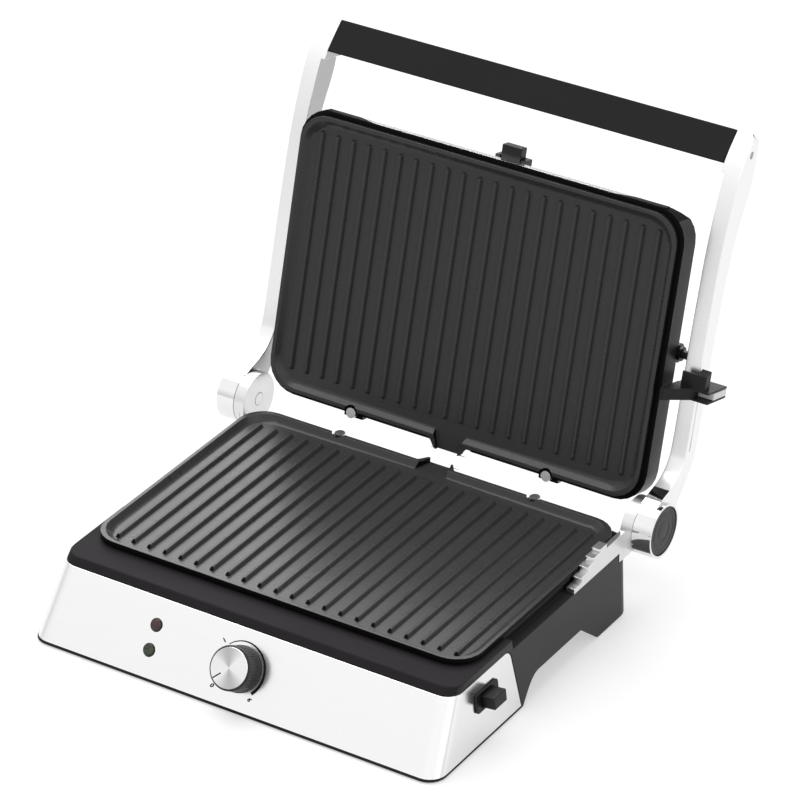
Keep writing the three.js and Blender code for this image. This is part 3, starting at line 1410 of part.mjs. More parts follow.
function steelBack() {
  const outside = cut(joined(backBlock(0), noseBlock(0)), noseSlope(0));
  const inside = cut(joined(backBlock(STEEL), noseBlock(STEEL)), noseSlope(STEEL));
  return cut(outside, inside, upperGuideBox(0), ...tiltBosses(GAP));
}

function tiltBoss(side) {
  const boss = tiltBosses(0)[side > 0 ? 1 : 0];
  return cut(boss, ...tiltBores());
}

function tiltPin(side) {
  const [inner, outer] = across(side, TILT_PIN_INNER + GAP, ARM_INNER + ARM_WALL);
  const shank = roundAlongX(TILT_PIN_RADIUS, inner, outer, MEDIUM_SEGMENTS);
  const [start, end] = across(side, FRAME_SIDE + FIT, FRAME_SIDE + FIT + TILT_HEAD_THICKNESS);
  return joined(shank, roundAlongX(TILT_HEAD_RADIUS, start, end, MEDIUM_SEGMENTS));
}

function upperGuide() {
  const halfRoom = UPPER_BUTTON_WIDTH / 2 + FIT;
  const room = box(
    [UPPER_BUTTON_OFFSET - halfRoom, UPPER_BUTTON_OFFSET + halfRoom],
    [-UPPER_GUIDE_END - OVERRUN, -UPPER_GUIDE_START - GUIDE_THICKNESS],
    [0, UPPER_BUTTON_LEVEL + UPPER_BUTTON_DEPTH + FIT],
  );
  const wall = -UPPER_GUIDE_START;
  const hole = roundAlongY(STEM_RADIUS + FIT, wall - GUIDE_THICKNESS * 2, wall + OVERRUN, COARSE_SEGMENTS);
  return cut(upperGuideBox(GAP), room, hole.translate(UPPER_BUTTON_OFFSET, 0, upperStemLevel()));
}

function upperStemLevel() {
  return UPPER_BUTTON_LEVEL + UPPER_BUTTON_DEPTH / 2;
}

function upperButton() {
  const block = box(
    [UPPER_BUTTON_OFFSET - UPPER_BUTTON_WIDTH / 2, UPPER_BUTTON_OFFSET + UPPER_BUTTON_WIDTH / 2],
    [-UPPER_BUTTON_END, -UPPER_BUTTON_ROOT],
    [UPPER_BUTTON_LEVEL, UPPER_BUTTON_LEVEL + UPPER_BUTTON_DEPTH],
  );
  const root = -UPPER_BUTTON_ROOT;
  const stem = roundAlongY(STEM_RADIUS, root - OVERRUN, root + UPPER_STEM_LENGTH, COARSE_SEGMENTS);
  return joined(block, stem.translate(UPPER_BUTTON_OFFSET, 0, upperStemLevel()));
}

function upperSpring() {
  const start = UPPER_GUIDE_START + GUIDE_THICKNESS + GAP;
  const length = UPPER_BUTTON_ROOT - GAP - start;
  const wound = coil(SPRING_RADIUS - SPRING_WIRE, SPRING_WIRE, start, length, SPRING_TURNS);
  return wound.rotateZ(-QUARTER).translate(UPPER_BUTTON_OFFSET, 0, upperStemLevel());
}

// Height slider

function sliderBody() {
  const room = box(
    [ARM_INNER - FIT, ARM_OUTER + FIT],
    [-SLIDER_HIGH - OVERRUN, -SLIDER_LOW + OVERRUN],
    [ARM_FRONT - FIT, ARM_BACK + FIT],
  );
  const sheets = [
    [SLIDER_HIGH - SLIDER_SHEET, SLIDER_HIGH],
    [SLIDER_LOW, SLIDER_LOW + SLIDER_SHEET],
  ].map(([low, high]) => box([SLIDER_INNER, SLIDER_OUTER], [-high, -low], [SLIDER_FRONT, SLIDER_BACK]));
  const nose = frontPrism(
    [
      [HOOK_INNER, HOOK_FRONT],
      [SLIDER_INNER + FIT * 4, HOOK_FRONT],
      [ARM_OUTER + SLIDER_SHEET, ARM_FRONT - SLIDER_NOSE_REACH],
      [ARM_OUTER + SLIDER_SHEET, ARM_FRONT],
      [HOOK_INNER, ARM_FRONT],
    ],
    -SLIDER_HIGH,
    -SLIDER_LOW,
  );
  const heel = box([SLIDER_INNER, ARM_OUTER], [-SLIDER_HIGH, -SLIDER_LOW], [ARM_BACK + FIT, SLIDER_BACK]);
  const tabFront = SLIDER_FRONT + TAB_SETBACK;
  const tabFoot = SLIDER_HIGH - SLIDER_SHEET / 2;
  const tabTop = SLIDER_HIGH + TAB_HEIGHT;
  const tabOutline = lidOutline([
    [tabFoot, tabFront],
    [tabTop, tabFront],
    [tabTop + TAB_RISE, tabFront + TAB_LENGTH],
    [tabFoot, tabFront + TAB_LENGTH],
  ]);
  const tab = sidePrism(tabOutline, TAB_START, TAB_START + TAB_WIDTH);
  const wall = box(
    [TAB_START - TAB_WALL_WIDTH, TAB_START + TAB_WALL],
    [-tabTop, -tabFoot],
    [tabFront, tabFront + TAB_WALL],
  );
  return cut(joined(sheets[0], sheets[1], nose, heel, tab, wall), room);
}

function sliderPlate() {
  const body = box(
    [ARM_OUTER + FIT, SLIDER_OUTER],
    [-SLIDER_HIGH + SLIDER_SHEET + GAP, -SLIDER_LOW - SLIDER_SHEET - GAP],
    [ARM_FRONT + FIT, SLIDER_BACK],
  );
  const stud = box(
    [ARM_OUTER - ARM_WALL - FIT, ARM_OUTER + FIT * 2],
    [-(SLIDER_LOW + SLIDER_HIGH) / 2 - STUD_LENGTH / 2, -(SLIDER_LOW + SLIDER_HIGH) / 2 + STUD_LENGTH / 2],
    [SLOT_LEVEL - SLOT_WIDTH / 2 + GAP, SLOT_LEVEL + SLOT_WIDTH / 2 - GAP],
  );
  return joined(body, stud);
}

// Assembly

const grill = new THREE.Group();

const base = new THREE.Group();
grill.add(base);
base.add(
  piece("base_housing", baseHousing(), finishes.blackPlastic),
  piece("steel_apron", steelApron(), finishes.steel),
  piece("bottom_cover", bottomCover(), finishes.greyPlastic),
  piece("power_inlet", powerInlet(), finishes.blackPlastic),
);

const footPlaces = {
  foot_front_left: [-1, FRONT + FOOT_INSET],
  foot_front_right: [1, FRONT + FOOT_INSET],
  foot_rear_left: [-1, FRONT + BASE_DEPTH - FOOT_REAR_INSET],
  foot_rear_right: [1, FRONT + BASE_DEPTH - FOOT_REAR_INSET],
};
Object.entries(footPlaces).forEach(([name, [side, along]]) => {
  const foot = piece(name, rubberFoot(), finishes.rubber);
  foot.position.set(side * (BASE_WIDTH / 2 - FOOT_INSET), along, 0);
  base.add(foot);
});

const panel = new THREE.Group();
panel.position.set(0, FRONT, BASE_STANDOFF);
panel.rotation.x = PANEL_ANGLE;
base.add(panel);
const dial = new THREE.Group();
dial.position.y = DIAL_HEIGHT_ON_PANEL;
panel.add(dial);
dial.add(
  piece("dial_knob", dialKnob(), finishes.blackPlastic),
  piece("dial_face", dialFace(), finishes.steel),
  piece("dial_shaft", dialShaft(), finishes.aluminium),
  piece("thermostat", thermostat(), finishes.greyPlastic),
);
const lensFinishes = { indicator_red: finishes.redLens, indicator_green: finishes.greenLens };
Object.entries(lensFinishes).forEach(([name, material], index) => {
  const indicator = piece(name, lens(), material);
  indicator.position.set(LENS_OFFSET, lensHeights[index], 0);
  panel.add(indicator);
});
panel.add(piece("indicator_board", lampBoard(), finishes.greyPlastic));

const rightSide = new THREE.Group();
rightSide.position.set(BASE_WIDTH / 2, FRONT + BUTTON_FROM_FRONT, BASE_STANDOFF);
rightSide.rotation.y = -SIDE_LEAN;
base.add(rightSide);
rightSide.add(
  piece("lower_release_bezel", releaseBezel(), finishes.blackPlastic),
  piece("lower_release_button", releaseButton(), finishes.blackPlastic),
  piece("lower_release_guide", releaseGuide(), finishes.greyPlastic),
  piece("lower_release_spring", releaseSpring(), finishes.steel),
);

const lowerUnit = new THREE.Group();
lowerUnit.position.set(0, PLATE_REAR, RIM_LEVEL);
lowerUnit.rotation.x = Math.PI;
base.add(lowerUnit);

const lid = new THREE.Group();
lid.position.set(0, HINGE_Y, HINGE_LEVEL);
lid.rotation.x = -LID_OPEN;
grill.add(lid);

const upperUnit = new THREE.Group();
upperUnit.position.set(0, -UPPER_PLATE_START, UPPER_RIM_LEVEL);
upperUnit.rotation.z = Math.PI;
lid.add(upperUnit);

const sideNames = { left: -1, right: 1 };
[
  ["lower", lowerUnit],
  ["upper", upperUnit],
].forEach(([unitName, unit]) => {
  unit.add(
    piece(`${unitName}_plate`, cookingPlate(), finishes.coating),
    piece(`${unitName}_reflector`, reflector(), finishes.aluminium),
    piece(`${unitName}_heater`, heater(), finishes.steel),
  );
  Object.entries(sideNames).forEach(([sideName, side]) => {
    const post = piece(`${unitName}_peg_${sideName}`, peg(), finishes.bracketMetal);
    const turned = unitName === "upper" ? -side : side;
    post.position.set((turned * PEG_SPREAD) / 2, -PEG_SETBACK, 0);
    unit.add(post);
  });
});

Object.entries(sideNames).forEach(([sideName, side]) => {
  const pin = piece(`hinge_pin_${sideName}`, hingePin(side), finishes.steel);
  pin.position.set(0, HINGE_Y, HINGE_LEVEL);
  grill.add(piece(`hinge_bracket_${sideName}`, hingeBracket(side), finishes.bracketMetal), pin);
  lid.add(
    piece(`arm_${sideName}`, lidArm(side), finishes.chrome),
    piece(`hinge_cap_${sideName}`, hingeCap(side), finishes.greyPlastic),
    piece(`grip_screw_${sideName}`, gripFastener(side, 0), finishes.steel),
    piece(`tilt_boss_${sideName}`, tiltBoss(side), finishes.blackPlastic),
  );
  const tilt = piece(`tilt_pin_${sideName}`, tiltPin(side), finishes.greyPlastic);
  tilt.position.set(0, -TILT_PIVOT_ALONG, TILT_PIVOT_LEVEL);
  lid.add(tilt);
});

lid.add(
  piece("grip", grip(), finishes.blackPlastic),
  piece("grip_core", gripCore(0), finishes.steel),
  piece("upper_frame", upperFrame(), finishes.blackPlastic),
  piece("upper_back", steelBack(), finishes.steel),
  piece("upper_release_guide", upperGuide(), finishes.blackPlastic),
  piece("upper_release_button", upperButton(), finishes.blackPlastic),
  piece("upper_release_spring", upperSpring(), finishes.steel),
  piece("height_slider", sliderBody(), finishes.blackPlastic),
  piece("height_slider_plate", sliderPlate(), finishes.chrome),
);

export default grill;
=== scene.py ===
"""Looks of an indoor contact grill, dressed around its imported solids.

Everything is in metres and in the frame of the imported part: the origin is on the
table under the middle of the base, the front is -Y and the right side is +X.
"""

import json
import logging
import math
from collections.abc import Callable, Iterator, Sequence
from contextlib import contextmanager
from dataclasses import dataclass
from enum import Enum

import bmesh
import bpy
from bpy.types import Material, Node, NodeSocket, NodeTree, Object
from mathutils import Matrix, Vector

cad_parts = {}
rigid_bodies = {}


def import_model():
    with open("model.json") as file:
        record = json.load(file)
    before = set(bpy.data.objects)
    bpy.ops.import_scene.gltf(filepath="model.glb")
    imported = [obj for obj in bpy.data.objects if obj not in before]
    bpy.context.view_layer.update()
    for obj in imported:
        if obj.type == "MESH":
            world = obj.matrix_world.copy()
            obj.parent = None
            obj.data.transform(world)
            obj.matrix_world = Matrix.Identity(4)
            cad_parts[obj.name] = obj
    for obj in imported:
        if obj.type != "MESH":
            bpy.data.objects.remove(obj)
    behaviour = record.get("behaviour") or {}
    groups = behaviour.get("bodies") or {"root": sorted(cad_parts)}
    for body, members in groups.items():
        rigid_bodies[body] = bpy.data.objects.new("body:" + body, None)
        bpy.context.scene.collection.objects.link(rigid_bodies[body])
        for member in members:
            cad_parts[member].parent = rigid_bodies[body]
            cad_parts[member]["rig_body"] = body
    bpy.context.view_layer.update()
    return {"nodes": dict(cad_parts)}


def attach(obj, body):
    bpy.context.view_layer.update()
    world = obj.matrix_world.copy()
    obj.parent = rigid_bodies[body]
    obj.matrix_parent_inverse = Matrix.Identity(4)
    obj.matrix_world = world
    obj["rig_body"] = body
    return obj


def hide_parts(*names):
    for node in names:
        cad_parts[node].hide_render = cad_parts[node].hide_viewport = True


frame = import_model()

LOG = logging.getLogger("grill")
MM = 0.001
SPUN_UV = "round_the_disc"
UP = Vector((0, 0, 1))
SHARP_TURN = math.radians(32)
HINGE = Vector((0, 0.1545, 0.06425))
LID_TURN = Matrix.Rotation(math.radians(75.2), 4, "X")
WHITE = (1.0, 1.0, 1.0, 1.0)
Colour = tuple[float, float, float, float]
Profile = Sequence[tuple[float, float]]
Value = NodeSocket | float


class Side(Enum):
    """The two sides of the grill, with the sign of their X."""

    LEFT = -1
    RIGHT = 1

    @property
    def word(self) -> str:
        """The side's name in lower case, as node names have it."""
        return self.name.lower()


class Body(Enum):
    """The moving bodies that new pieces ride on."""

    BASE = "base"
    DIAL = "dial"


class Slot(Enum):
    """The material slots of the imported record."""

    BLACK_PLASTIC = "black_plastic"
    GREY_PLASTIC = "grey_plastic"
    BLACK_SHEET = "black_sheet"
    BRUSHED_STEEL = "brushed_steel"
    HEATER_STEEL = "heater_steel"
    SPRING_STEEL = "spring_steel"
    CHROME = "chrome"
    CAST_METAL = "cast_metal"
    BRIGHT_ALUMINIUM = "bright_aluminium"
    COATED_ALUMINIUM = "coated_aluminium"
    RUBBER = "rubber"
    RED_LENS = "red_lens"
    GREEN_LENS = "green_lens"


class Pick(Enum):
    """What edit mode selects."""

    VERTICES = "VERT"
    EDGES = "EDGE"
    FACES = "FACE"


def linear(code: str) -> Colour:
    """Turns a colour written as six hex digits into linear values.

    Args:
        code: The colour, such as "302e30".

    Returns:
        Red, green, blue and an alpha of 1.
    """
    parts = [int(code[at : at + 2], 16) / 255 for at in (0, 2, 4)]
    straight = [p / 12.92 if p <= 0.04045 else ((p + 0.055) / 1.055) ** 2.4 for p in parts]
    return (*straight, 1.0)


def darker(colour: Colour, share: float) -> Colour:
    """Darkens a colour to a share of its light, from 0 to 1."""
    return (*(part * share for part in colour[:3]), 1.0)


# Shader nodes


class Nodes:
    """Adds nodes to one shader tree."""

    def __init__(self, tree: NodeTree) -> None:
        """Takes the tree that gets the nodes."""
        self.tree = tree

    def add(self, kind: str, inputs: dict[str | int, Value | Sequence[float]], **settings: object) -> Node:
        """Adds a node.

        Args:
            kind: Its type, without the words ShaderNode.
            inputs: What each of its sockets gets, a link or a plain value, by name or number.
            settings: The node's own settings.

        Returns:
            The node.
        """
        node = self.tree.nodes.new(f"ShaderNode{kind}")
        for label, setting in settings.items():
            setattr(node, label, setting)
        for label, value in inputs.items():
            if isinstance(value, NodeSocket):
                self.tree.links.new(value, node.inputs[label])
            else:
                node.inputs[label].default_value = value
        return node

    def calc(self, operation: str, first: Value, second: Value = 0.0, clamp: bool = False) -> NodeSocket:
        """Adds a Math node.

        Args:
            operation: What it does, such as MULTIPLY.
            first: Its first value, a socket or a number.
            second: Its second value.
            clamp: True to keep the result from 0 to 1.

        Returns:
            Its result.
        """
        return self.add("Math", {0: first, 1: second}, operation=operation, use_clamp=clamp).outputs[0]

    def spread(
        self, value: NodeSocket, low: float, high: float, to: tuple[float, float] = (0.0, 1.0)
    ) -> NodeSocket:
        """Maps one range of a value to another, and keeps it there.

        Args:
            value: The value to map.
            low: The start of the range that it comes from.
            high: The end of that range.
            to: The range that it goes to.

        Returns:
            The mapped value.
        """
        ends = {"Value": value, "From Min": low, "From Max": high, "To Min": to[0], "To Max": to[1]}
        return self.add("MapRange", ends).outputs["Result"]

    def between(self, share: NodeSocket, first: Value, second: Value) -> NodeSocket:
        """Goes from a first value to a second one, as a share goes from 0 to 1."""
        step = self.calc("SUBTRACT", second, first)
        return self.calc("ADD", first, self.calc("MULTIPLY", share, step))

    def seen(self, path: Node) -> NodeSocket:
        """Gives 1 where a Light Path node finds that the camera looks, also through glass."""
        return self.calc("MAXIMUM", path.outputs["Is Camera Ray"], path.outputs["Is Transmission Ray"])

    def noise(
        self,
        scale: Value,
        detail: float,
        stretch: Sequence[float] = (1.0, 1.0, 1.0),
        turn: Sequence[float] = (0.0, 0.0, 0.0),
    ) -> NodeSocket:
        """Adds a noise that lies in the piece's own coordinates.

        Args:
            scale: Waves per metre.
            detail: How many finer octaves it has.
            stretch: How much denser it is along each axis.
            turn: The turn of those axes, in radians.

        Returns:
            The noise, from 0 to 1.
        """
        where = self.add("TexCoord", {}).outputs["Object"]
        mapped = self.add("Mapping", {"Vector": where, "Rotation": turn, "Scale": stretch}).outputs["Vector"]
        return self.add("TexNoise", {"Vector": mapped, "Scale": scale, "Detail": detail}).outputs["Fac"]


class Group(Nodes):
    """A shader node group with number inputs and one number output."""

    def __init__(self, name: str, inputs: dict[str, float], output: str) -> None:
        """Starts the group.

        Args:
            name: The group's name.
            inputs: Each input's name and starting value.
            output: The output's name.
        """
        super().__init__(bpy.data.node_groups.new(name, "ShaderNodeTree"))
        sockets = self.tree.interface
        for label, value in inputs.items():
            socket = sockets.new_socket(name=label, in_out="INPUT", socket_type="NodeSocketFloat")
            socket.default_value = value
        sockets.new_socket(name=output, in_out="OUTPUT", socket_type="NodeSocketFloat")
        self.given = self.tree.nodes.new("NodeGroupInput").outputs
        self.result = self.tree.nodes.new("NodeGroupOutput").inputs

    def put_out(self, value: NodeSocket) -> NodeTree:
        """Links the group's result to its output, and returns the finished tree."""
        self.tree.links.new(value, self.result[0])
        return self.tree


class Effects:
    """The effects that several finishes use, each built once as a node group."""

    def __init__(self) -> None:
        """Builds the groups."""
        self.grain = self.build_grain()
        self.handling = self.build_handling()
        self.worn_edge = self.build_worn_edge()

    def build_grain(self) -> NodeTree:
        """Builds the fine grain of moulded or sprayed surfaces.

        Returns:
            A group with Scale and Coarse Share in, and Height out.
        """
        group = Group("fine grain", {"Scale": 3000.0, "Coarse Share": 0.3}, "Height")
        fine = group.noise(group.given["Scale"], detail=2.0)
        coarse = group.noise(group.calc("MULTIPLY", group.given["Scale"], 0.22), detail=1.0)
        part = group.calc("MULTIPLY", coarse, group.given["Coarse Share"])
        return group.put_out(group.calc("ADD", fine, part))

    def build_handling(self) -> NodeTree:
        """Builds the uneven shine that wiping and handling leave.

        Returns:
            A group with Roughness and Amount in, and Roughness out.
        """
        group = Group("wiped shine", {"Roughness": 0.3, "Amount": 0.1}, "Roughness")
        clouds = group.noise(14.0, detail=3.0, stretch=(1.0, 1.6, 1.2))
        streaks = group.noise(60.0, detail=2.0, stretch=(0.25, 1.0, 1.0), turn=(0.2, 0.1, 0.5))
        offset = group.calc("SUBTRACT", group.calc("ADD", clouds, streaks), 1.0)
        change = group.calc("MULTIPLY", offset, group.given["Amount"])
        return group.put_out(group.calc("ADD", group.given["Roughness"], change, clamp=True))

    def build_worn_edge(self) -> NodeTree:
        """Builds a mask of the edges that hands and cloths rub.

        Returns:
            A group with Radius and Amount in, and Mask out.
        """
        group = Group("worn edge", {"Radius": 0.8 * MM, "Amount": 1.0}, "Mask")
        soft = group.add("Bevel", {"Radius": group.given["Radius"]}, samples=4).outputs["Normal"]
        true = group.add("NewGeometry", {}).outputs["Normal"]
        dot = group.add("VectorMath", {0: soft, 1: true}, operation="DOT_PRODUCT")
        edge = group.spread(dot.outputs["Value"], 0.985, 0.86)
        patches = group.spread(group.noise(260.0, detail=3.0), 0.42, 0.62)
        mask = group.calc("MULTIPLY", edge, patches)
        return group.put_out(group.calc("MULTIPLY", mask, group.given["Amount"], clamp=True))


EFFECTS = Effects()


# Finishes


class Paint(Nodes):
    """One material that is being built, with its Principled shader."""

    def __init__(self, name: str) -> None:
        """Starts the material.

        Args:
            name: The material's name.
        """
        self.material = bpy.data.materials.new(name)
        self.material.use_nodes = True
        super().__init__(self.material.node_tree)
        self.shader = self.tree.nodes["Principled BSDF"]

    def set(self, **values: float | Sequence[float]) -> None:
        """Sets plain values on the shader's own sockets, named with _ for each space."""
        for label, value in values.items():
            self.shader.inputs[label.replace("_", " ")].default_value = value

    def link(self, value: NodeSocket, socket: str) -> None:
        """Links a value to the shader's socket of that name."""
        self.tree.links.new(value, self.shader.inputs[socket])

    def effect(self, group: NodeTree, **values: float) -> NodeSocket:
        """Places a shared group.

        Args:
            group: The group.
            values: Its inputs, with _ for each space, and their values.

        Returns:
            The group's output.
        """
        inputs = {label.replace("_", " "): value for label, value in values.items()}
        return self.add("Group", inputs, node_tree=group).outputs[0]

    def shine(self, roughness: float, amount: float) -> None:
        """Gives the surface an uneven roughness.

        Args:
            roughness: The roughness of an untouched face.
            amount: How much it varies.
        """
        self.link(self.effect(EFFECTS.handling, Roughness=roughness, Amount=amount), "Roughness")

    def bump(self, height: NodeSocket, depth: float) -> None:
        """Feeds a height to the shader's normal.

        Args:
            height: The height, from 0 to 1.
            depth: How deep 1 is, in metres.
        """
        self.link(self.add("Bump", {"Distance": depth, "Height": height}).outputs["Normal"], "Normal")

    def mixed(self, mask: NodeSocket, first: Colour, second: Colour) -> None:
        """Mixes two base colours by a mask.

        Args:
            mask: 0 gives the first colour and 1 the second.
            first: The first colour.
            second: The second colour.
        """
        node = self.add("Mix", {"Factor": mask}, data_type="RGBA")
        ends = [socket for socket in node.inputs if socket.type == "RGBA"]
        ends[0].default_value = first
        ends[1].default_value = second
        self.link(next(socket for socket in node.outputs if socket.type == "RGBA"), "Base Color")


@dataclass(frozen=True)
class Finish:
    """A finish of the grill.

    Attributes:
        name: The material's name.
        colour: Its main colour, as six hex digits.
    """

    name: str
    colour: str

    def build(self) -> Material:
        """Builds the material.

        Returns:
            The material.
        """
        paint = Paint(self.name)
        self.dress(paint)
        return paint.material

    def dress(self, paint: Paint) -> None:
        """Adds the finish's own nodes to a material.

        Args:
            paint: The material that is being built.
        """
        raise NotImplementedError


@dataclass(frozen=True)
class Plastic(Finish):
    """Moulded plastic: fine grain, uneven shine and paler worn edges.

    Attributes:
        worn: The colour where edges are rubbed.
        roughness: The roughness of an untouched face.
        grain: Waves of the grain per metre.
        depth: The depth of the grain.
        specular: The specular level.
    """

    worn: str
    roughness: float = 0.34
    grain: float = 3200.0
    depth: float = 0.02 * MM
    specular: float = 0.4

    def dress(self, paint: Paint) -> None:
        """Adds the worn edges, the uneven shine and the grain.

        Args:
            paint: The material that is being built.
        """
        paint.set(Specular_IOR_Level=self.specular)
        wear = paint.effect(EFFECTS.worn_edge, Radius=0.6 * MM, Amount=0.6)
        paint.mixed(wear, linear(self.colour), linear(self.worn))
        paint.shine(self.roughness, amount=0.12)
        paint.bump(paint.effect(EFFECTS.grain, Scale=self.grain, Coarse_Share=0.4), self.depth)


@dataclass(frozen=True)
class BrushedMetal(Finish):
    """Sheet metal with fine brushed lines.

    Attributes:
        roughness: The roughness along the lines.
        stretch: How much denser the lines are along each axis.
        depth: The depth of the lines.
        tone: How much darker the darkest line is, from 0 to 1.
    """

    roughness: float = 0.2
    stretch: tuple[float, float, float] = (0.004, 1.0, 1.0)
    depth: float = 0.004 * MM
    tone: float = 0.05

    def dress(self, paint: Paint) -> None:
        """Adds the lines, in colour, roughness and height.

        Args:
            paint: The material that is being built.
        """
        paint.set(Metallic=1.0)
        lines = paint.noise(5200.0, detail=3.0, stretch=self.stretch)
        colour = linear(self.colour)
        paint.mixed(paint.spread(lines, 0.35, 0.65), darker(colour, 1 - self.tone), colour)
        wiped = paint.effect(EFFECTS.handling, Roughness=self.roughness, Amount=0.08)
        scratched = paint.spread(lines, 0.3, 0.7, to=(0.9, 1.15))
        paint.link(paint.calc("MULTIPLY", scratched, wiped), "Roughness")
        paint.bump(lines, self.depth)


@dataclass(frozen=True)
class SmoothMetal(Finish):
    """Polished, plated or cast metal.

    Attributes:
        roughness: Its roughness.
        unevenness: The height of its slow waves.
        waves: Waves per metre.
        smears: How much its shine varies.
    """

    roughness: float = 0.06
    unevenness: float = 0.02 * MM
    waves: float = 90.0
    smears: float = 0.05

    def dress(self, paint: Paint) -> None:
        """Adds faint clouds, smears and slow waves.

        Args:
            paint: The material that is being built.
        """
        paint.set(Metallic=1.0)
        clouds = paint.noise(45.0, detail=3.0)
        colour = linear(self.colour)
        paint.mixed(paint.spread(clouds, 0.35, 0.65), darker(colour, 0.95), colour)
        paint.shine(self.roughness, self.smears)
        paint.bump(paint.noise(self.waves, detail=1.0), self.unevenness)


@dataclass(frozen=True)
class NonStick(Finish):
    """The sprayed coating of the cooking plates, with fine specks in it.

    Attributes:
        speck: The colour of its specks.
        roughness: Its roughness.
        specular: The specular level.
    """

    speck: str
    roughness: float = 0.28
    specular: float = 0.3

    def dress(self, paint: Paint) -> None:
        """Adds the specks, the uneven shine and the grain.

        Args:
            paint: The material that is being built.
        """
        paint.set(Specular_IOR_Level=self.specular)
        specks = paint.spread(paint.noise(2600.0, detail=1.0), 0.66, 0.74)
        paint.mixed(specks, linear(self.colour), linear(self.speck))
        paint.shine(self.roughness, amount=0.1)
        paint.bump(paint.effect(EFFECTS.grain, Scale=1400.0, Coarse_Share=0.8), depth=0.015 * MM)


@dataclass(frozen=True)
class Lens(Finish):
    """A tinted lamp lens.

    Attributes:
        light: The tint where the light comes through.
    """

    light: str

    def dress(self, paint: Paint) -> None:
        """Adds the clouded tint and a faint ripple.

        Args:
            paint: The material that is being built.
        """
        paint.set(Specular_IOR_Level=0.6)
        clouds = paint.spread(paint.noise(330.0, detail=2.0), 0.35, 0.7)
        paint.mixed(clouds, linear(self.colour), linear(self.light))
        paint.shine(0.12, amount=0.06)
        paint.bump(paint.noise(900.0, detail=1.0), depth=0.01 * MM)


@dataclass(frozen=True)
class Ink(Finish):
    """Print on metal.

    Attributes:
        thin: Its colour where it lies thin.
    """

    thin: str

    def dress(self, paint: Paint) -> None:
        """Adds the uneven cover of the ink.

        Args:
            paint: The material that is being built.
        """
        paint.set(Specular_IOR_Level=0.2)
        cover = paint.spread(paint.noise(4200.0, detail=2.0), 0.3, 0.75)
        paint.mixed(cover, linear(self.colour), linear(self.thin))
        paint.shine(0.5, amount=0.1)


@dataclass(frozen=True)
class Spun(Finish):
    """Metal turned on a lathe, with rings round its middle and a sheen that turns with them, and with fans
    of painted highlight in its colour round the disc.

    Its piece has a UV map: the radius, and the angle round the disc.

    Attributes:
        ring: Distance between two rings, as a share of the disc's radius.
        fans: How many pale fans of painted highlight its colour has round the disc.
        turn: Where the first of them lies, in radians.
    """

    ring: float = 0.02
    fans: int = 2
    turn: float = 0.3

    def dress(self, paint: Paint) -> None:
        """Adds the rings and the painted highlight fans, and turns the sheen with them.

        Args:
            paint: The material that is being built.
        """
        paint.set(Metallic=1.0, Anisotropic=0.8)
        place = paint.add("UVMap", {}, uv_map=SPUN_UV).outputs["UV"]
        parts = paint.add("SeparateXYZ", {"Vector": place}).outputs
        spacing = {"W": parts["X"], "Scale": 1 / self.ring, "Detail": 2.0}
        rings = paint.add("TexNoise", spacing, noise_dimensions="1D").outputs["Fac"]
        # Painted highlight: pale and dark fans of sheen, painted into the base colour by the angle round the
        # disc.
        angle = paint.calc("MULTIPLY", parts["Y"], math.tau * self.fans)
        wave = paint.calc("COSINE", paint.calc("SUBTRACT", angle, self.turn * self.fans))
        painted_sheen = paint.spread(wave, -1.0, 0.35, to=(0.0, 0.85))
        line = paint.spread(rings, 0.3, 0.7, to=(0.0, 0.15))
        tone = paint.calc("ADD", painted_sheen, line, clamp=True)
        paint.mixed(tone, darker(linear(self.colour), 0.5), linear(self.colour))
        paint.shine(0.34, amount=0.04)
        paint.bump(rings, depth=0.006 * MM)
        tangent = paint.add("Tangent", {}, direction_type="UV_MAP", uv_map=SPUN_UV)
        paint.link(tangent.outputs["Tangent"], "Tangent")


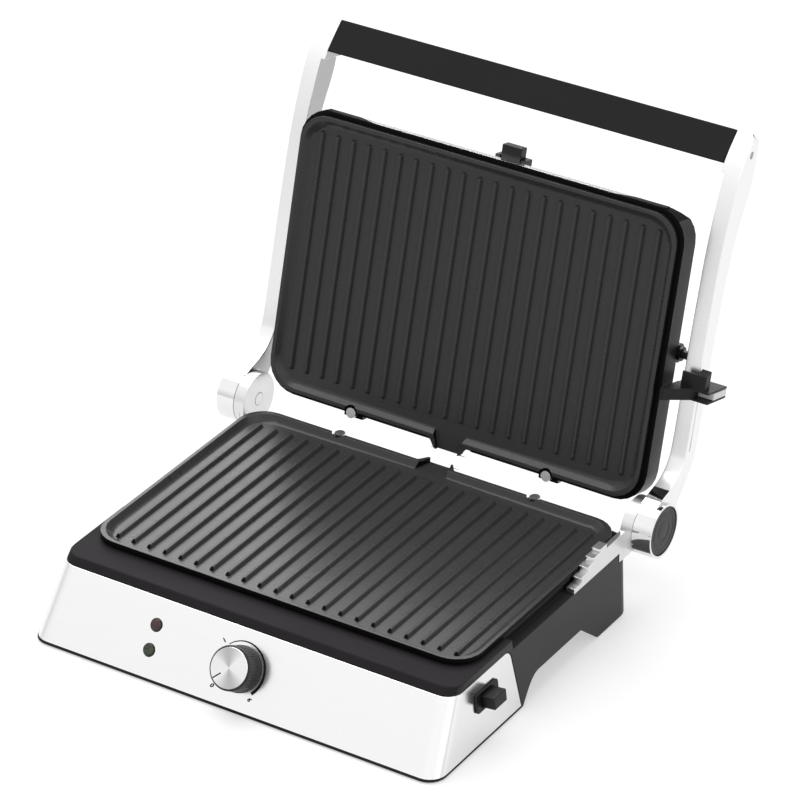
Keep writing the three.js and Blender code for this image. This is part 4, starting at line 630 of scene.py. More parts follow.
class Finishes:
    """Every finish of the grill, and the finish that each material slot takes."""

    def __init__(self) -> None:
        """Builds the materials."""
        coarse = {"grain": 2600.0, "depth": 0.03 * MM}
        sprayed = {"grain": 5200.0, "depth": 0.01 * MM}
        rough = {"grain": 2400.0, "depth": 0.04 * MM}
        soft = {"grain": 1800.0, "depth": 0.05 * MM}
        along_arm = (1.0, 1.0, 0.01)
        self.matt_plastic = Plastic(
            "matt black plastic", "2c2a2c", "444244", roughness=0.55, specular=0.03, **coarse
        ).build()
        self.frame_plastic = Plastic(
            "frame plastic", "161516", "302f30", roughness=0.5, specular=0.06, **coarse
        ).build()
        self.grip_plastic = Plastic(
            "grip plastic", "161616", "2a2a2a", roughness=0.6, specular=0.15, **rough
        ).build()
        self.satin_plastic = Plastic("satin black plastic", "181818", "3a3a3a").build()
        self.button_plastic = Plastic(
            "button plastic", "101010", "2b2b2b", roughness=0.42, specular=0.3
        ).build()
        self.grey_plastic = Plastic("grey plastic", "1c1c1c", "505050", roughness=0.4).build()
        self.black_sheet = Plastic("painted sheet", "161616", "6a6a6a", roughness=0.4, **sprayed).build()
        self.bright_insert = Plastic("bright insert", "f0f0f0", "fafafa", roughness=0.3, **sprayed).build()
        self.rubber = Plastic("rubber", "101010", "232323", roughness=0.8, specular=0.2, **soft).build()
        self.brushed_steel = BrushedMetal("brushed steel", "fcfcfc", tone=0.03).build()
        # Painted shade: a darker copy of the arm steel for the arms' inner sides; its higher roughness is a
        # satin finish.
        self.satin_steel = BrushedMetal("satin steel", "bcbcbd", roughness=0.36, stretch=along_arm).build()
        self.arm_steel = BrushedMetal(
            "arm steel", "fafafa", roughness=0.3, stretch=along_arm, tone=0.03
        ).build()
        self.aluminium = BrushedMetal(
            "bright aluminium", "cfd0d2", roughness=0.32, stretch=(1.0, 0.01, 1.0), tone=0.1
        ).build()
        self.heater_steel = SmoothMetal("heater sheath", "8d8984", roughness=0.42, smears=0.2).build()
        self.spring_steel = SmoothMetal("spring steel", "a9a9ab", roughness=0.25).build()
        self.dark_steel = SmoothMetal("blackened steel", "3a3a3b", roughness=0.3, waves=300.0).build()
        self.chrome = SmoothMetal("chrome", "f7f7f7", roughness=0.07, unevenness=0.006 * MM).build()
        self.cast_metal = SmoothMetal("cast bracket", "ededed", roughness=0.3, waves=500.0).build()
        self.coating = NonStick("nonstick coating", "3a3a3a", "585858").build()
        # Painted shade: a near-black copy of the coating for the plates' sides and underside and the rib
        # ends.
        self.coating_shade = NonStick(
            "thin coating", "0c0c0c", "202020", roughness=0.5, specular=0.1
        ).build()
        self.red_lens = Lens("red lens", "2a1014", "5a2a30").build()
        self.green_lens = Lens("green lens", "1d2814", "3c4a30").build()
        self.ink = Ink("black ink", "080808", "1c1c1c").build()
        self.spun_metal = Spun("spun metal", "fafafa").build()
        self.slots = {
            Slot.BLACK_PLASTIC: self.satin_plastic,
            Slot.GREY_PLASTIC: self.grey_plastic,
            Slot.BLACK_SHEET: self.black_sheet,
            Slot.BRUSHED_STEEL: self.brushed_steel,
            Slot.HEATER_STEEL: self.heater_steel,
            Slot.SPRING_STEEL: self.spring_steel,
            Slot.CHROME: self.chrome,
            Slot.CAST_METAL: self.cast_metal,
            Slot.BRIGHT_ALUMINIUM: self.aluminium,
            Slot.COATED_ALUMINIUM: self.coating,
            Slot.RUBBER: self.rubber,
            Slot.RED_LENS: self.red_lens,
            Slot.GREEN_LENS: self.green_lens,
        }


# Modelling


def take(piece: Object) -> None:
    """Makes a piece the only selected and the active one.

    Args:
        piece: The piece.
    """
    bpy.ops.object.select_all(action="DESELECT")
    piece.select_set(True)
    bpy.context.view_layer.objects.active = piece


@contextmanager
def editing(piece: Object, pick: Pick = Pick.FACES, whole: bool = False) -> Iterator[None]:
    """Opens a piece in edit mode, and closes it afterwards.

    Args:
        piece: The piece.
        pick: What is selected there.
        whole: True to start with all of it selected, False with nothing.
    """
    take(piece)
    bpy.ops.object.mode_set(mode="EDIT")
    bpy.ops.mesh.select_mode(type=pick.value)
    bpy.ops.mesh.select_all(action="SELECT" if whole else "DESELECT")
    yield
    bpy.ops.object.mode_set(mode="OBJECT")


def extrude(step: Sequence[float]) -> None:
    """Extrudes what is selected, in edit mode, by a step."""
    bpy.ops.mesh.extrude_region_move(TRANSFORM_OT_translate={"value": step})


def extrude_whole(step: Sequence[float]) -> None:
    """Extrudes all of the piece, in edit mode, by a step."""
    bpy.ops.mesh.select_all(action="SELECT")
    extrude(step)


def close_up(distance: float) -> None:
    """Merges doubles of the edited piece, and turns its faces outwards.

    Args:
        distance: How far two points may be apart to be merged.
    """
    bpy.ops.mesh.select_all(action="SELECT")
    bpy.ops.mesh.remove_doubles(threshold=distance)
    bpy.ops.mesh.normals_make_consistent(inside=False)


def pick_faces(piece: Object, wanted: Callable[[bmesh.types.BMFace], bool]) -> None:
    """Selects the faces of the edited piece that pass a test.

    Args:
        piece: The piece.
        wanted: Says whether a face is wanted.
    """
    mesh = bmesh.from_edit_mesh(piece.data)
    for face in mesh.faces:
        face.select_set(wanted(face))
    bmesh.update_edit_mesh(piece.data)


def pick_edges(piece: Object, wanted: Callable[[bmesh.types.BMEdge], bool]) -> int:
    """Selects the edges of the edited piece that lie between two faces and pass a test.

    Args:
        piece: The piece.
        wanted: Says whether an edge is wanted.

    Returns:
        How many edges were selected.
    """
    mesh = bmesh.from_edit_mesh(piece.data)
    mesh.normal_update()
    for edge in mesh.edges:
        edge.select_set(len(edge.link_faces) == 2 and wanted(edge))
    bmesh.update_edit_mesh(piece.data)
    return sum(edge.select for edge in mesh.edges)


def apply_modifier(piece: Object, kind: str, **settings: object) -> None:
    """Adds a modifier to a piece and applies it.

    Args:
        piece: The piece.
        kind: The modifier's type, such as BEVEL.
        settings: The modifier's values.
    """
    take(piece)
    modifier = piece.modifiers.new(kind.lower(), kind)
    for label, value in settings.items():
        setattr(modifier, label, value)
    bpy.ops.object.modifier_apply(modifier=modifier.name)


def smooth(piece: Object, angle: float = 40.0) -> None:
    """Shades a piece smooth, with flat faces kept flat.

    Args:
        piece: The piece.
        angle: Edges that turn further than this stay sharp, in degrees.
    """
    take(piece)
    bpy.ops.object.shade_smooth_by_angle(angle=math.radians(angle))
    apply_modifier(piece, "WEIGHTED_NORMAL", keep_sharp=True, weight=80)


def copy_of(node: str) -> Object:
    """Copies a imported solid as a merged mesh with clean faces.

    Args:
        node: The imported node.

    Returns:
        The copy, named after the node.
    """
    mesh = frame["nodes"][node].data.copy()
    mesh.materials.clear()
    piece = bpy.data.objects.new(f"{node}_shape", mesh)
    bpy.context.scene.collection.objects.link(piece)
    take(piece)
    bpy.ops.mesh.customdata_custom_splitnormals_clear()
    with editing(piece, whole=True):
        bpy.ops.mesh.remove_doubles(threshold=0.01 * MM)
        bpy.ops.mesh.dissolve_limited(angle_limit=math.radians(0.6))
    return piece


def soften(piece: Object, width: float, segments: int = 2, split: bool = True) -> None:
    """Rounds the sharp edges of a piece.

    Args:
        piece: The piece.
        width: The width of each rounded edge.
        segments: How many strips it has.
        split: True to split faces with holes and hollows first, so that none of them folds over.
    """
    if split:
        with editing(piece, whole=True):
            bpy.ops.mesh.vert_connect_concave()
    shape = {"width": width, "segments": segments, "miter_outer": "MITER_ARC", "use_clamp_overlap": False}
    apply_modifier(piece, "BEVEL", limit_method="ANGLE", angle_limit=SHARP_TURN, **shape)


def soften_where(piece: Object, width: float, segments: int, wanted: Callable[[Vector], bool]) -> None:
    """Rounds the sharp edges of one part of a piece.

    Args:
        piece: The piece.
        width: The width of each rounded edge.
        segments: How many strips it has.
        wanted: Says from an edge's middle whether it is rounded.
    """

    def sharp(edge: bmesh.types.BMEdge) -> bool:
        """Says whether an edge is sharp and lies in that part."""
        first, second = (vertex.co for vertex in edge.verts)
        return edge.calc_face_angle(0) > SHARP_TURN and wanted((first + second) / 2)

    with editing(piece, Pick.EDGES):
        if pick_edges(piece, sharp):
            bpy.ops.mesh.bevel(offset=width, segments=segments, affect="EDGES", miter_outer="ARC")


def place(piece: Object, matrix: Matrix) -> None:
    """Puts a piece in its place, and keeps the place in its mesh.

    Args:
        piece: The piece, made round the origin.
        matrix: Its place.
    """
    piece.matrix_world = matrix
    take(piece)
    bpy.ops.object.transform_apply(location=True, rotation=True, scale=True)


def point_at(name: str, where: Vector) -> Object:
    """Makes a mesh of one point, to be extruded.

    Args:
        name: The piece's name.
        where: The point.

    Returns:
        The piece.
    """
    bpy.ops.object.select_all(action="DESELECT")
    bpy.ops.mesh.primitive_plane_add(size=MM)
    piece = bpy.context.active_object
    piece.name = name
    with editing(piece, Pick.VERTICES, whole=True):
        bpy.ops.mesh.merge(type="CENTER")
        bpy.ops.mesh.select_all(action="SELECT")
        bpy.ops.transform.translate(value=where)
    return piece


def turned(name: str, profile: Profile, steps: int) -> Object:
    """Turns a profile round Z, as on a lathe.

    Args:
        name: The piece's name.
        profile: Radius and height of each corner, from the axis round to the axis,
            or closed on itself.
        steps: How many steps it has round the axis.

    Returns:
        The piece.
    """
    corners = [Vector((radius, 0, height)) for radius, height in profile]
    piece = point_at(name, corners[0])
    with editing(piece, Pick.VERTICES, whole=True):
        for corner, following in zip(corners, corners[1:]):
            extrude(following - corner)
        bpy.ops.mesh.select_all(action="SELECT")
        bpy.ops.mesh.spin(steps=steps, angle=math.tau, center=(0, 0, 0), axis=UP)
        close_up(0.005 * MM)
    return piece


@dataclass(frozen=True)
class Lamp:
    """A broad soft lamp far away.

    Attributes:
        name: Its name.
        toward: Where it stands, seen from the grill.
        strength: Its strength.
        width: How wide it is in the sky, in degrees.
    """

    name: str
    toward: Vector
    strength: float
    width: float


@dataclass
class Studio:
    """The camera, the light and the floor.

    Attributes:
        eye: The camera's place, as fitted to the photograph.
        back: The way from what it looks at to the camera.
        lens: The camera's focal length in millimetres.
        sensor: The width of its sensor in millimetres.
        floor_size: The length of the floor's sides.
        floor_shown: The light that brings the floor up to white for the camera.
        floor_mirrored: The light that it gives to what mirrors it.
        ambient: The strength of the world's light on the grill.
        horizon: What is mirrored level with the table, against 1 high above it.
        behind: What is mirrored from behind the grill, against 1 in front of it.
        lamps: One overhead, and weaker ones from the right and from behind.
    """

    eye: Vector = Vector((1.566, -2.3726, 1.865))
    back: Vector = Vector((0.4619, -0.7277, 0.5071)).normalized()
    lens: float = 206.2
    sensor: float = 36.0
    floor_size: float = 30.0
    floor_colour: str = "b4b4b4"
    floor_shown: float = 0.5
    floor_mirrored: float = 0.36
    ambient: float = 0.52
    horizon: float = 0.65
    behind: float = 0.7
    lamps: tuple[Lamp, ...] = (
        Lamp("key lamp", Vector((-0.35, 0.3, 1.0)), 2.2, 60.0),
        Lamp("side lamp", Vector((1.0, -0.1, 0.75)), 0.4, 60.0),
        Lamp("rim lamp", Vector((-0.46, 0.73, 0.51)), 1.0, 36.0),
    )

    def build(self) -> None:
        """Builds everything."""
        self.build_camera()
        self.build_world()
        for lamp in self.lamps:
            self.build_lamp(lamp)
        self.build_floor()
        bpy.context.scene.view_settings.view_transform = "Standard"

    def stand(self, name: str, data: bpy.types.ID, toward: Vector) -> Object:
        """Adds a camera or a lamp that looks away from a direction.

        Args:
            name: Its name.
            data: The camera or the light.
            toward: The way that its back faces.

        Returns:
            The object.
        """
        thing = bpy.data.objects.new(name, data)
        bpy.context.scene.collection.objects.link(thing)
        thing.rotation_euler = toward.to_track_quat("Z", "Y").to_euler()
        return thing

    def build_camera(self) -> None:
        """Places the camera at the photograph's viewing angle."""
        data = bpy.data.cameras.new("camera")
        data.lens = self.lens
        data.sensor_width = self.sensor
        data.sensor_fit = "HORIZONTAL"
        data.clip_start = 0.05
        data.clip_end = 100.0
        camera = self.stand("camera", data, self.back)
        camera.location = self.eye
        bpy.context.scene.camera = camera

    def build_world(self) -> None:
        """Makes a white surround for the camera, a shaded one to mirror, and soft light."""
        world = bpy.data.worlds.new("white surround")
        world.use_nodes = True
        bpy.context.scene.world = world
        nodes = Nodes(world.node_tree)
        where = nodes.add("TexCoord", {}).outputs["Generated"]
        parts = nodes.add("SeparateXYZ", {"Vector": where}).outputs
        rising = nodes.spread(parts["Z"], 0.0, 0.4, to=(self.horizon, 1.0))
        facing = nodes.spread(parts["Y"], -0.2, 0.5, to=(1.0, self.behind))
        mirrored = nodes.calc("MULTIPLY", rising, facing)
        path = nodes.add("LightPath", {})
        strength = nodes.between(path.outputs["Is Glossy Ray"], self.ambient, mirrored)
        background = world.node_tree.nodes["Background"].inputs
        background["Color"].default_value = WHITE
        world.node_tree.links.new(nodes.between(nodes.seen(path), strength, 1.0), background["Strength"])

    def build_lamp(self, lamp: Lamp) -> None:
        """Adds one lamp.

        Args:
            lamp: The lamp.
        """
        data = bpy.data.lights.new(lamp.name, "SUN")
        data.energy = lamp.strength
        data.angle = math.radians(lamp.width)
        self.stand(lamp.name, data, lamp.toward)

    def build_floor(self) -> None:
        """Adds a pale floor that shows white away from the grill and keeps its shadow."""
        bpy.ops.object.select_all(action="DESELECT")
        bpy.ops.mesh.primitive_plane_add(size=self.floor_size)
        floor = bpy.context.active_object
        floor.name = "floor"
        paint = Paint("floor")
        paint.set(Base_Color=linear(self.floor_colour), Roughness=0.9, Specular_IOR_Level=0.0)
        paint.set(Emission_Color=WHITE)
        path = paint.add("LightPath", {})
        shown = paint.calc("MULTIPLY", paint.seen(path), self.floor_shown)
        mirrored = paint.calc("MULTIPLY", path.outputs["Is Glossy Ray"], self.floor_mirrored)
        paint.link(paint.calc("ADD", shown, mirrored), "Emission Strength")
        floor.data.materials.append(paint.material)


class Dresser:
    """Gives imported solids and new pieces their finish, and says what each one rides on."""

    def __init__(self, finishes: Finishes) -> None:
        """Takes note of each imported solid's slot, and gives it that slot's finish.

        Args:
            finishes: The grill's finishes.
        """
        self.finishes = finishes
        self.slots: dict[str, Slot] = {}
        for node, solid in frame["nodes"].items():
            slot = Slot(solid.material_slots[0].material.name.split(".")[0])
            self.slots[node] = slot
            self.paint(node, finishes.slots[slot])

    def paint(self, node: str, material: Material) -> None:
        """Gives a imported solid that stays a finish."""
        for held in frame["nodes"][node].material_slots:
            held.material = material

    def add(self, piece: Object, material: Material, slot: Slot, body: Body) -> None:
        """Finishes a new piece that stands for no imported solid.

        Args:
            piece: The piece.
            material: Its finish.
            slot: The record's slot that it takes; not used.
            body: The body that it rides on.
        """
        piece.data.materials.append(material)
        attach(piece, body.value)
        LOG.info("%s rides on %s, %d faces", piece.name, body.value, len(piece.data.polygons))

    def stand_in(self, piece: Object, node: str, material: Material | None = None) -> None:
        """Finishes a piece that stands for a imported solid.

        Args:
            piece: The piece, which keeps the finishes that it has.
            node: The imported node.
            material: Its finish if it has none yet, or None for its slot's own.
        """
        slot = self.slots[node]
        if not piece.data.materials:
            piece.data.materials.append(material or self.finishes.slots[slot])
        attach(piece, frame["nodes"][node]["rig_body"])
        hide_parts(node)
        LOG.info("%s stands for %s, %d faces", piece.name, node, len(piece.data.polygons))

    def rounded(
        self, node: str, width: float, segments: int = 2, material: Material | None = None
    ) -> Object:
        """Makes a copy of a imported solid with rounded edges, which stands for it.

        Args:
            node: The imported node.
            width: The width of each rounded edge.
            segments: How many strips each rounded edge has.
            material: The copy's finish, or None for its slot's own.

        Returns:
            The copy.
        """
        piece = copy_of(node)
        self.round_off(piece, node, width, segments, material)
        return piece

    def round_off(
        self, piece: Object, node: str, width: float, segments: int, material: Material | None = None
    ) -> None:
        """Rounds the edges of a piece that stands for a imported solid, and finishes it.

        Args:
            piece: The piece.
            node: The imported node.
            width: The width of each rounded edge.
            segments: How many strips each rounded edge has.
            material: The piece's finish, or None for its slot's own.
        """
        soften(piece, width, segments)
        smooth(piece)
        self.stand_in(piece, node, material)

    def second_finish(
        self, piece: Object, material: Material, wanted: Callable[[Vector, Vector], bool]
    ) -> None:
        """Gives some faces of a piece another finish.

        Args:
            piece: The piece.
            material: The other finish.
            wanted: Says from a face's middle and normal whether it takes the other finish.
        """
        piece.data.materials.append(material)
        other = len(piece.data.materials) - 1
        for face in piece.data.polygons:
            if wanted(face.center, face.normal):
                face.material_index = other


@dataclass
class Part:
    """A sub-assembly of the grill.

    Attributes:
        dresser: Finishes the pieces.
    """

    dresser: Dresser

    @property
    def finishes(self) -> Finishes:
        """Every finish of the grill."""
        return self.dresser.finishes

    def build(self) -> None:
        """Builds every piece."""
        raise NotImplementedError


@dataclass
class BaseShell(Part):
    """The black surround with its skirts, the steel apron, the feet and the inlet.

    Attributes:
        surround_edge: The width of the surround's rounded edges, and so on for the others.
        skirt_lean: How far a face points sideways where a glossier copy of the plastic starts, as painted
            sheen on the skirts.
    """

    surround_edge: float = 1.0 * MM
    steel_edge: float = 0.3 * MM
    foot_edge: float = 0.4 * MM
    inlet_edge: float = 0.8 * MM
    skirt_lean: float = 0.75

    def build(self) -> None:
        """Builds every piece."""
        shell = self.dresser.rounded("base_housing", self.surround_edge, 3, self.finishes.matt_plastic)
        # Painted sheen: faces that point along X take a glossier copy of the black plastic, so the skirts
        # show lighter than the top.
        self.dresser.second_finish(
            shell, self.finishes.satin_plastic, lambda middle, normal: abs(normal.x) > self.skirt_lean
        )
        self.dresser.rounded("steel_apron", self.steel_edge)
        self.dresser.rounded("power_inlet", self.inlet_edge)
        for end in ("front", "rear"):
            for side in Side:
                self.dresser.rounded(f"foot_{end}_{side.word}", self.foot_edge)


@dataclass
class ControlPanel(Part):
    """The dial with its print, and the two lamps, on the slanted front.

    Angles are in degrees round the dial, from the right and anticlockwise. Heights are above
    the panel, apart from the two that are named as places up the slant.

    Attributes:
        slant: The panel's slope.
        front: A point on the panel's lower edge.
        dial_height: The dial's centre, measured up the slant.
        knob_round: The size of the knob's rounded corners.
        flutes: How many flutes the knob's side has.
        flute_slope: The width of a flute's slanted border, as a share of its depth.
        flute_lean: A face that points further up than this isn't fluted.
        face_radius: The radius of the dial's metal face.
        face_top: The face's outer side.
        pointer_inner: How far from the middle the pointer starts.
        print_radius: The middle line of the printed arc.
        print_start: The angle where the arc starts.
        print_end: The angle where it ends, further clockwise.
        ink_height: How thick the print is.
        numbers: Each number's text, angle and distance from the dial's axis.
        number_weight: How much each stroke of a number is widened.
        lens_edge: The width of the lenses' rounded edges.
        lamp_offset: The lamps' place along X.
        lamp_heights: The lamps' places up the slant.
        lamp_ring_seat: Where a ring's underside lies.
        lamp_ring_top: The top of a ring.
    """

    slant: float = 57.935
    front: Vector = Vector((0, -0.137, 0.0008))
    dial_height: float = 32 * MM
    knob_radius: float = 16.3 * MM
    knob_base_radius: float = 17.4 * MM
    knob_bottom: float = 0.6 * MM
    knob_top: float = 16.2 * MM
    knob_round: float = 0.7 * MM
    flutes: int = 48
    flute_depth: float = 0.3 * MM
    flute_slope: float = 0.6
    flute_lean: float = 0.5
    face_radius: float = 15.2 * MM
    face_top: float = 16.7 * MM
    face_bottom: float = 15.4 * MM
    face_chamfer: float = 0.35 * MM
    pointer_inner: float = 7.3 * MM
    pointer_width: float = 1.0 * MM
    pointer_angle: float = 225.0
    print_radius: float = 20.3 * MM
    print_start: float = 134.6
    print_end: float = -44.5
    print_start_width: float = 0.6 * MM
    print_end_width: float = 2.4 * MM
    print_steps: int = 72
    ink_height: float = 0.05 * MM
    numbers: tuple[tuple[str, float, float], ...] = (
        ("0", 224.5, 25.4 * MM),
        ("1", 140.0, 24.6 * MM),
        ("6", -52.5, 23.6 * MM),
    )
    number_size: float = 4.8 * MM
    number_weight: float = 0.2 * MM
    lens_edge: float = 0.35 * MM
    lamp_offset: float = -76.7 * MM
    lamp_heights: tuple[float, float] = (41.6 * MM, 22.6 * MM)
    lamp_ring_inner: float = 3.7 * MM
    lamp_ring_outer: float = 4.8 * MM
    lamp_ring_seat: float = 0.2 * MM
    lamp_ring_top: float = 0.9 * MM

    def build(self) -> None:
        """Builds every piece."""
        self.build_knob()
        self.build_face()
        self.build_pointer()
        self.build_arc()
        for text, angle, radius in self.numbers:
            self.build_number(text, angle, radius)
        for node, height in zip(("indicator_red", "indicator_green"), self.lamp_heights):
            self.build_lamp(node, height)

    def on_panel(self, across: float, up: float) -> Matrix:
        """Gives a place along X and up the slanted front, with its Z pointing out of the panel."""
        tilt = Matrix.Rotation(math.radians(self.slant), 4, "X")
        return Matrix.Translation(self.front) @ tilt @ Matrix.Translation((across, up, 0))

    def on_dial(self, piece: Object) -> None:
        """Puts a piece that was made round the origin on the dial's axis."""
        place(piece, self.on_panel(0, self.dial_height))

    def print_on(self, piece: Object, body: Body) -> None:
        """Finishes a printed piece in ink, riding on a body."""
        self.dresser.add(piece, self.finishes.ink, Slot.BLACK_PLASTIC, body)

    def build_knob(self) -> None:
        """Turns the knob and presses fine flutes into its side."""
        base, radius, bottom, top = self.knob_base_radius, self.knob_radius, self.knob_bottom, self.knob_top
        half = self.knob_round / 2
        bulge = self.knob_round * 0.3
        collar = bottom + self.knob_round
        shoulder = top - self.knob_round
        profile = (
            (0, bottom),
            (base - self.knob_round, bottom),
            (base, bottom + half),
            (base, collar + half),
            (base - half, collar + self.knob_round),
            (radius + half, shoulder - half),
            (radius, shoulder),
            (radius - bulge, top - bulge),
            (radius - self.knob_round, top),
            (0, top),
        )
        knob = turned("dial_knob_shape", profile, steps=self.flutes * 2)

        def in_flute(face: bmesh.types.BMFace) -> bool:
            """Says whether a face lies in a flute of the side.

            Args:
                face: The face.

            Returns:
                True where it does.
            """
            middle = face.calc_center_median()
            step = math.floor(math.atan2(middle.y, middle.x) / math.tau * self.flutes * 2)
            on_side = collar + self.knob_round < middle.z < shoulder - half
            return on_side and face.normal.z < self.flute_lean and step % 2 == 0

        slope = self.flute_depth * self.flute_slope
        with editing(knob):
            pick_faces(knob, in_flute)
            bpy.ops.mesh.inset(thickness=slope, depth=-self.flute_depth, use_individual=True)
        self.on_dial(knob)
        smooth(knob, angle=28)
        self.dresser.stand_in(knob, "dial_knob", self.finishes.satin_plastic)

    def build_face(self) -> None:
        """Turns the metal face, with a map of its radius and angle."""
        edge = self.face_radius
        profile = (
            (0, self.face_bottom),
            (edge, self.face_bottom),
            (edge, self.face_top - self.face_chamfer),
            (edge - self.face_chamfer, self.face_top),
            (edge / 2, self.face_top),
            (0, self.face_top),
        )
        face = turned("dial_face_shape", profile, steps=96)
        layer = face.data.uv_layers.new(name=SPUN_UV)
        for polygon in face.data.polygons:
            middle = math.atan2(polygon.center.y, polygon.center.x)
            for corner in polygon.loop_indices:
                spot = face.data.vertices[face.data.loops[corner].vertex_index].co
                radius = math.hypot(spot.x, spot.y)
                angle = math.atan2(spot.y, spot.x) if radius > self.pointer_width else middle
                turns = round((middle - angle) / math.tau)
                layer.data[corner].uv = (radius / edge, angle / math.tau + turns)
        self.on_dial(face)
        smooth(face, angle=28)
        self.dresser.stand_in(face, "dial_face", self.finishes.spun_metal)

    def build_pointer(self) -> None:
        """Builds the line on the face that points to the number."""
        angle = math.radians(self.pointer_angle)
        along = Vector((math.cos(angle), math.sin(angle), 0))
        across = Vector((-along.y, along.x, 0))
        start = along * self.pointer_inner - across * self.pointer_width / 2
        start.z = self.face_top - self.ink_height
        line = point_at("dial_pointer", start)
        with editing(line, Pick.VERTICES):
            extrude_whole(along * (self.face_radius - self.face_chamfer - self.pointer_inner))
            extrude_whole(across * self.pointer_width)
            extrude_whole(UP * self.ink_height * 2)
            close_up(0.002 * MM)
        self.on_dial(line)
        self.print_on(line, Body.DIAL)

    def build_arc(self) -> None:
        """Builds the printed arc, which grows wider clockwise."""
        end = math.radians(self.print_end)
        sweep = math.radians(self.print_start - self.print_end)
        outward = Vector((math.cos(end), math.sin(end), 0))
        arc = point_at("dial_print_arc", outward * (self.print_radius - self.print_end_width / 2))
        with editing(arc, Pick.VERTICES):
            extrude_whole(outward * self.print_end_width)
            bpy.ops.mesh.select_all(action="SELECT")
            bpy.ops.mesh.spin(steps=self.print_steps, angle=-sweep, center=(0, 0, 0), axis=UP)
            mesh = bmesh.from_edit_mesh(arc.data)
            for vertex in mesh.verts:
                turn = (math.atan2(vertex.co.y, vertex.co.x) - end) % math.tau
                # A point a hair past the end comes out as nearly a whole turn.
                share = min(turn / sweep, 1) if turn < math.pi * 1.5 else 0
                width = self.print_end_width + (self.print_start_width - self.print_end_width) * share
                side = 1 if vertex.co.length > self.print_radius else -1
                vertex.co = vertex.co.normalized() * (self.print_radius + side * width / 2)
            bmesh.update_edit_mesh(arc.data)
            extrude_whole(UP * self.ink_height)
            close_up(0.002 * MM)
        self.on_dial(arc)
        self.print_on(arc, Body.BASE)

    def build_number(self, text: str, degrees: float, radius: float) -> None:
        """Prints one number beside the dial, turned with the dial's scale.

        Args:
            text: The number.
            degrees: Its angle round the dial.
            radius: Its distance from the dial's axis.
        """
        bpy.ops.object.select_all(action="DESELECT")
        bpy.ops.object.text_add()
        number = bpy.context.active_object
        number.name = f"dial_number_{text}"
        number.data.body = text
        number.data.size = self.number_size
        number.data.extrude = self.ink_height / 2
        number.data.offset = self.number_weight
        number.data.resolution_u = 4
        number.data.align_x = "CENTER"
        number.data.align_y = "CENTER"
        take(number)
        bpy.ops.object.convert(target="MESH")
        angle = math.radians(degrees)
        spot = Matrix.Translation((math.cos(angle) * radius, math.sin(angle) * radius, self.ink_height / 2))
        turn = Matrix.Rotation(angle - math.pi / 2 if angle > 0 else angle, 4, "Z")
        place(number, self.on_panel(0, self.dial_height) @ spot @ turn)
        with editing(number, Pick.VERTICES, whole=True):
            bpy.ops.mesh.remove_doubles(threshold=0.002 * MM)
        self.print_on(number, Body.BASE)

    def build_lamp(self, node: str, height: float) -> None:
        """Rounds a lens and sets a dark ring round it.

        Args:
            node: The lens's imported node.
            height: Its place up the slant.
        """
        self.dresser.rounded(node, self.lens_edge, segments=3)
        inner, outer = self.lamp_ring_inner, self.lamp_ring_outer
        seat, top = self.lamp_ring_seat, self.lamp_ring_top
        profile = (
            (inner, seat),
            (outer, seat),
            (outer, top / 2),
            ((inner + outer) / 2, top),
            (inner, top / 2),
            (inner, seat),
        )
        ring = turned(f"{node}_ring", profile, steps=48)
        place(ring, self.on_panel(self.lamp_offset, height))
        smooth(ring)
        self.dresser.add(ring, self.finishes.satin_plastic, Slot.BLACK_PLASTIC, Body.BASE)


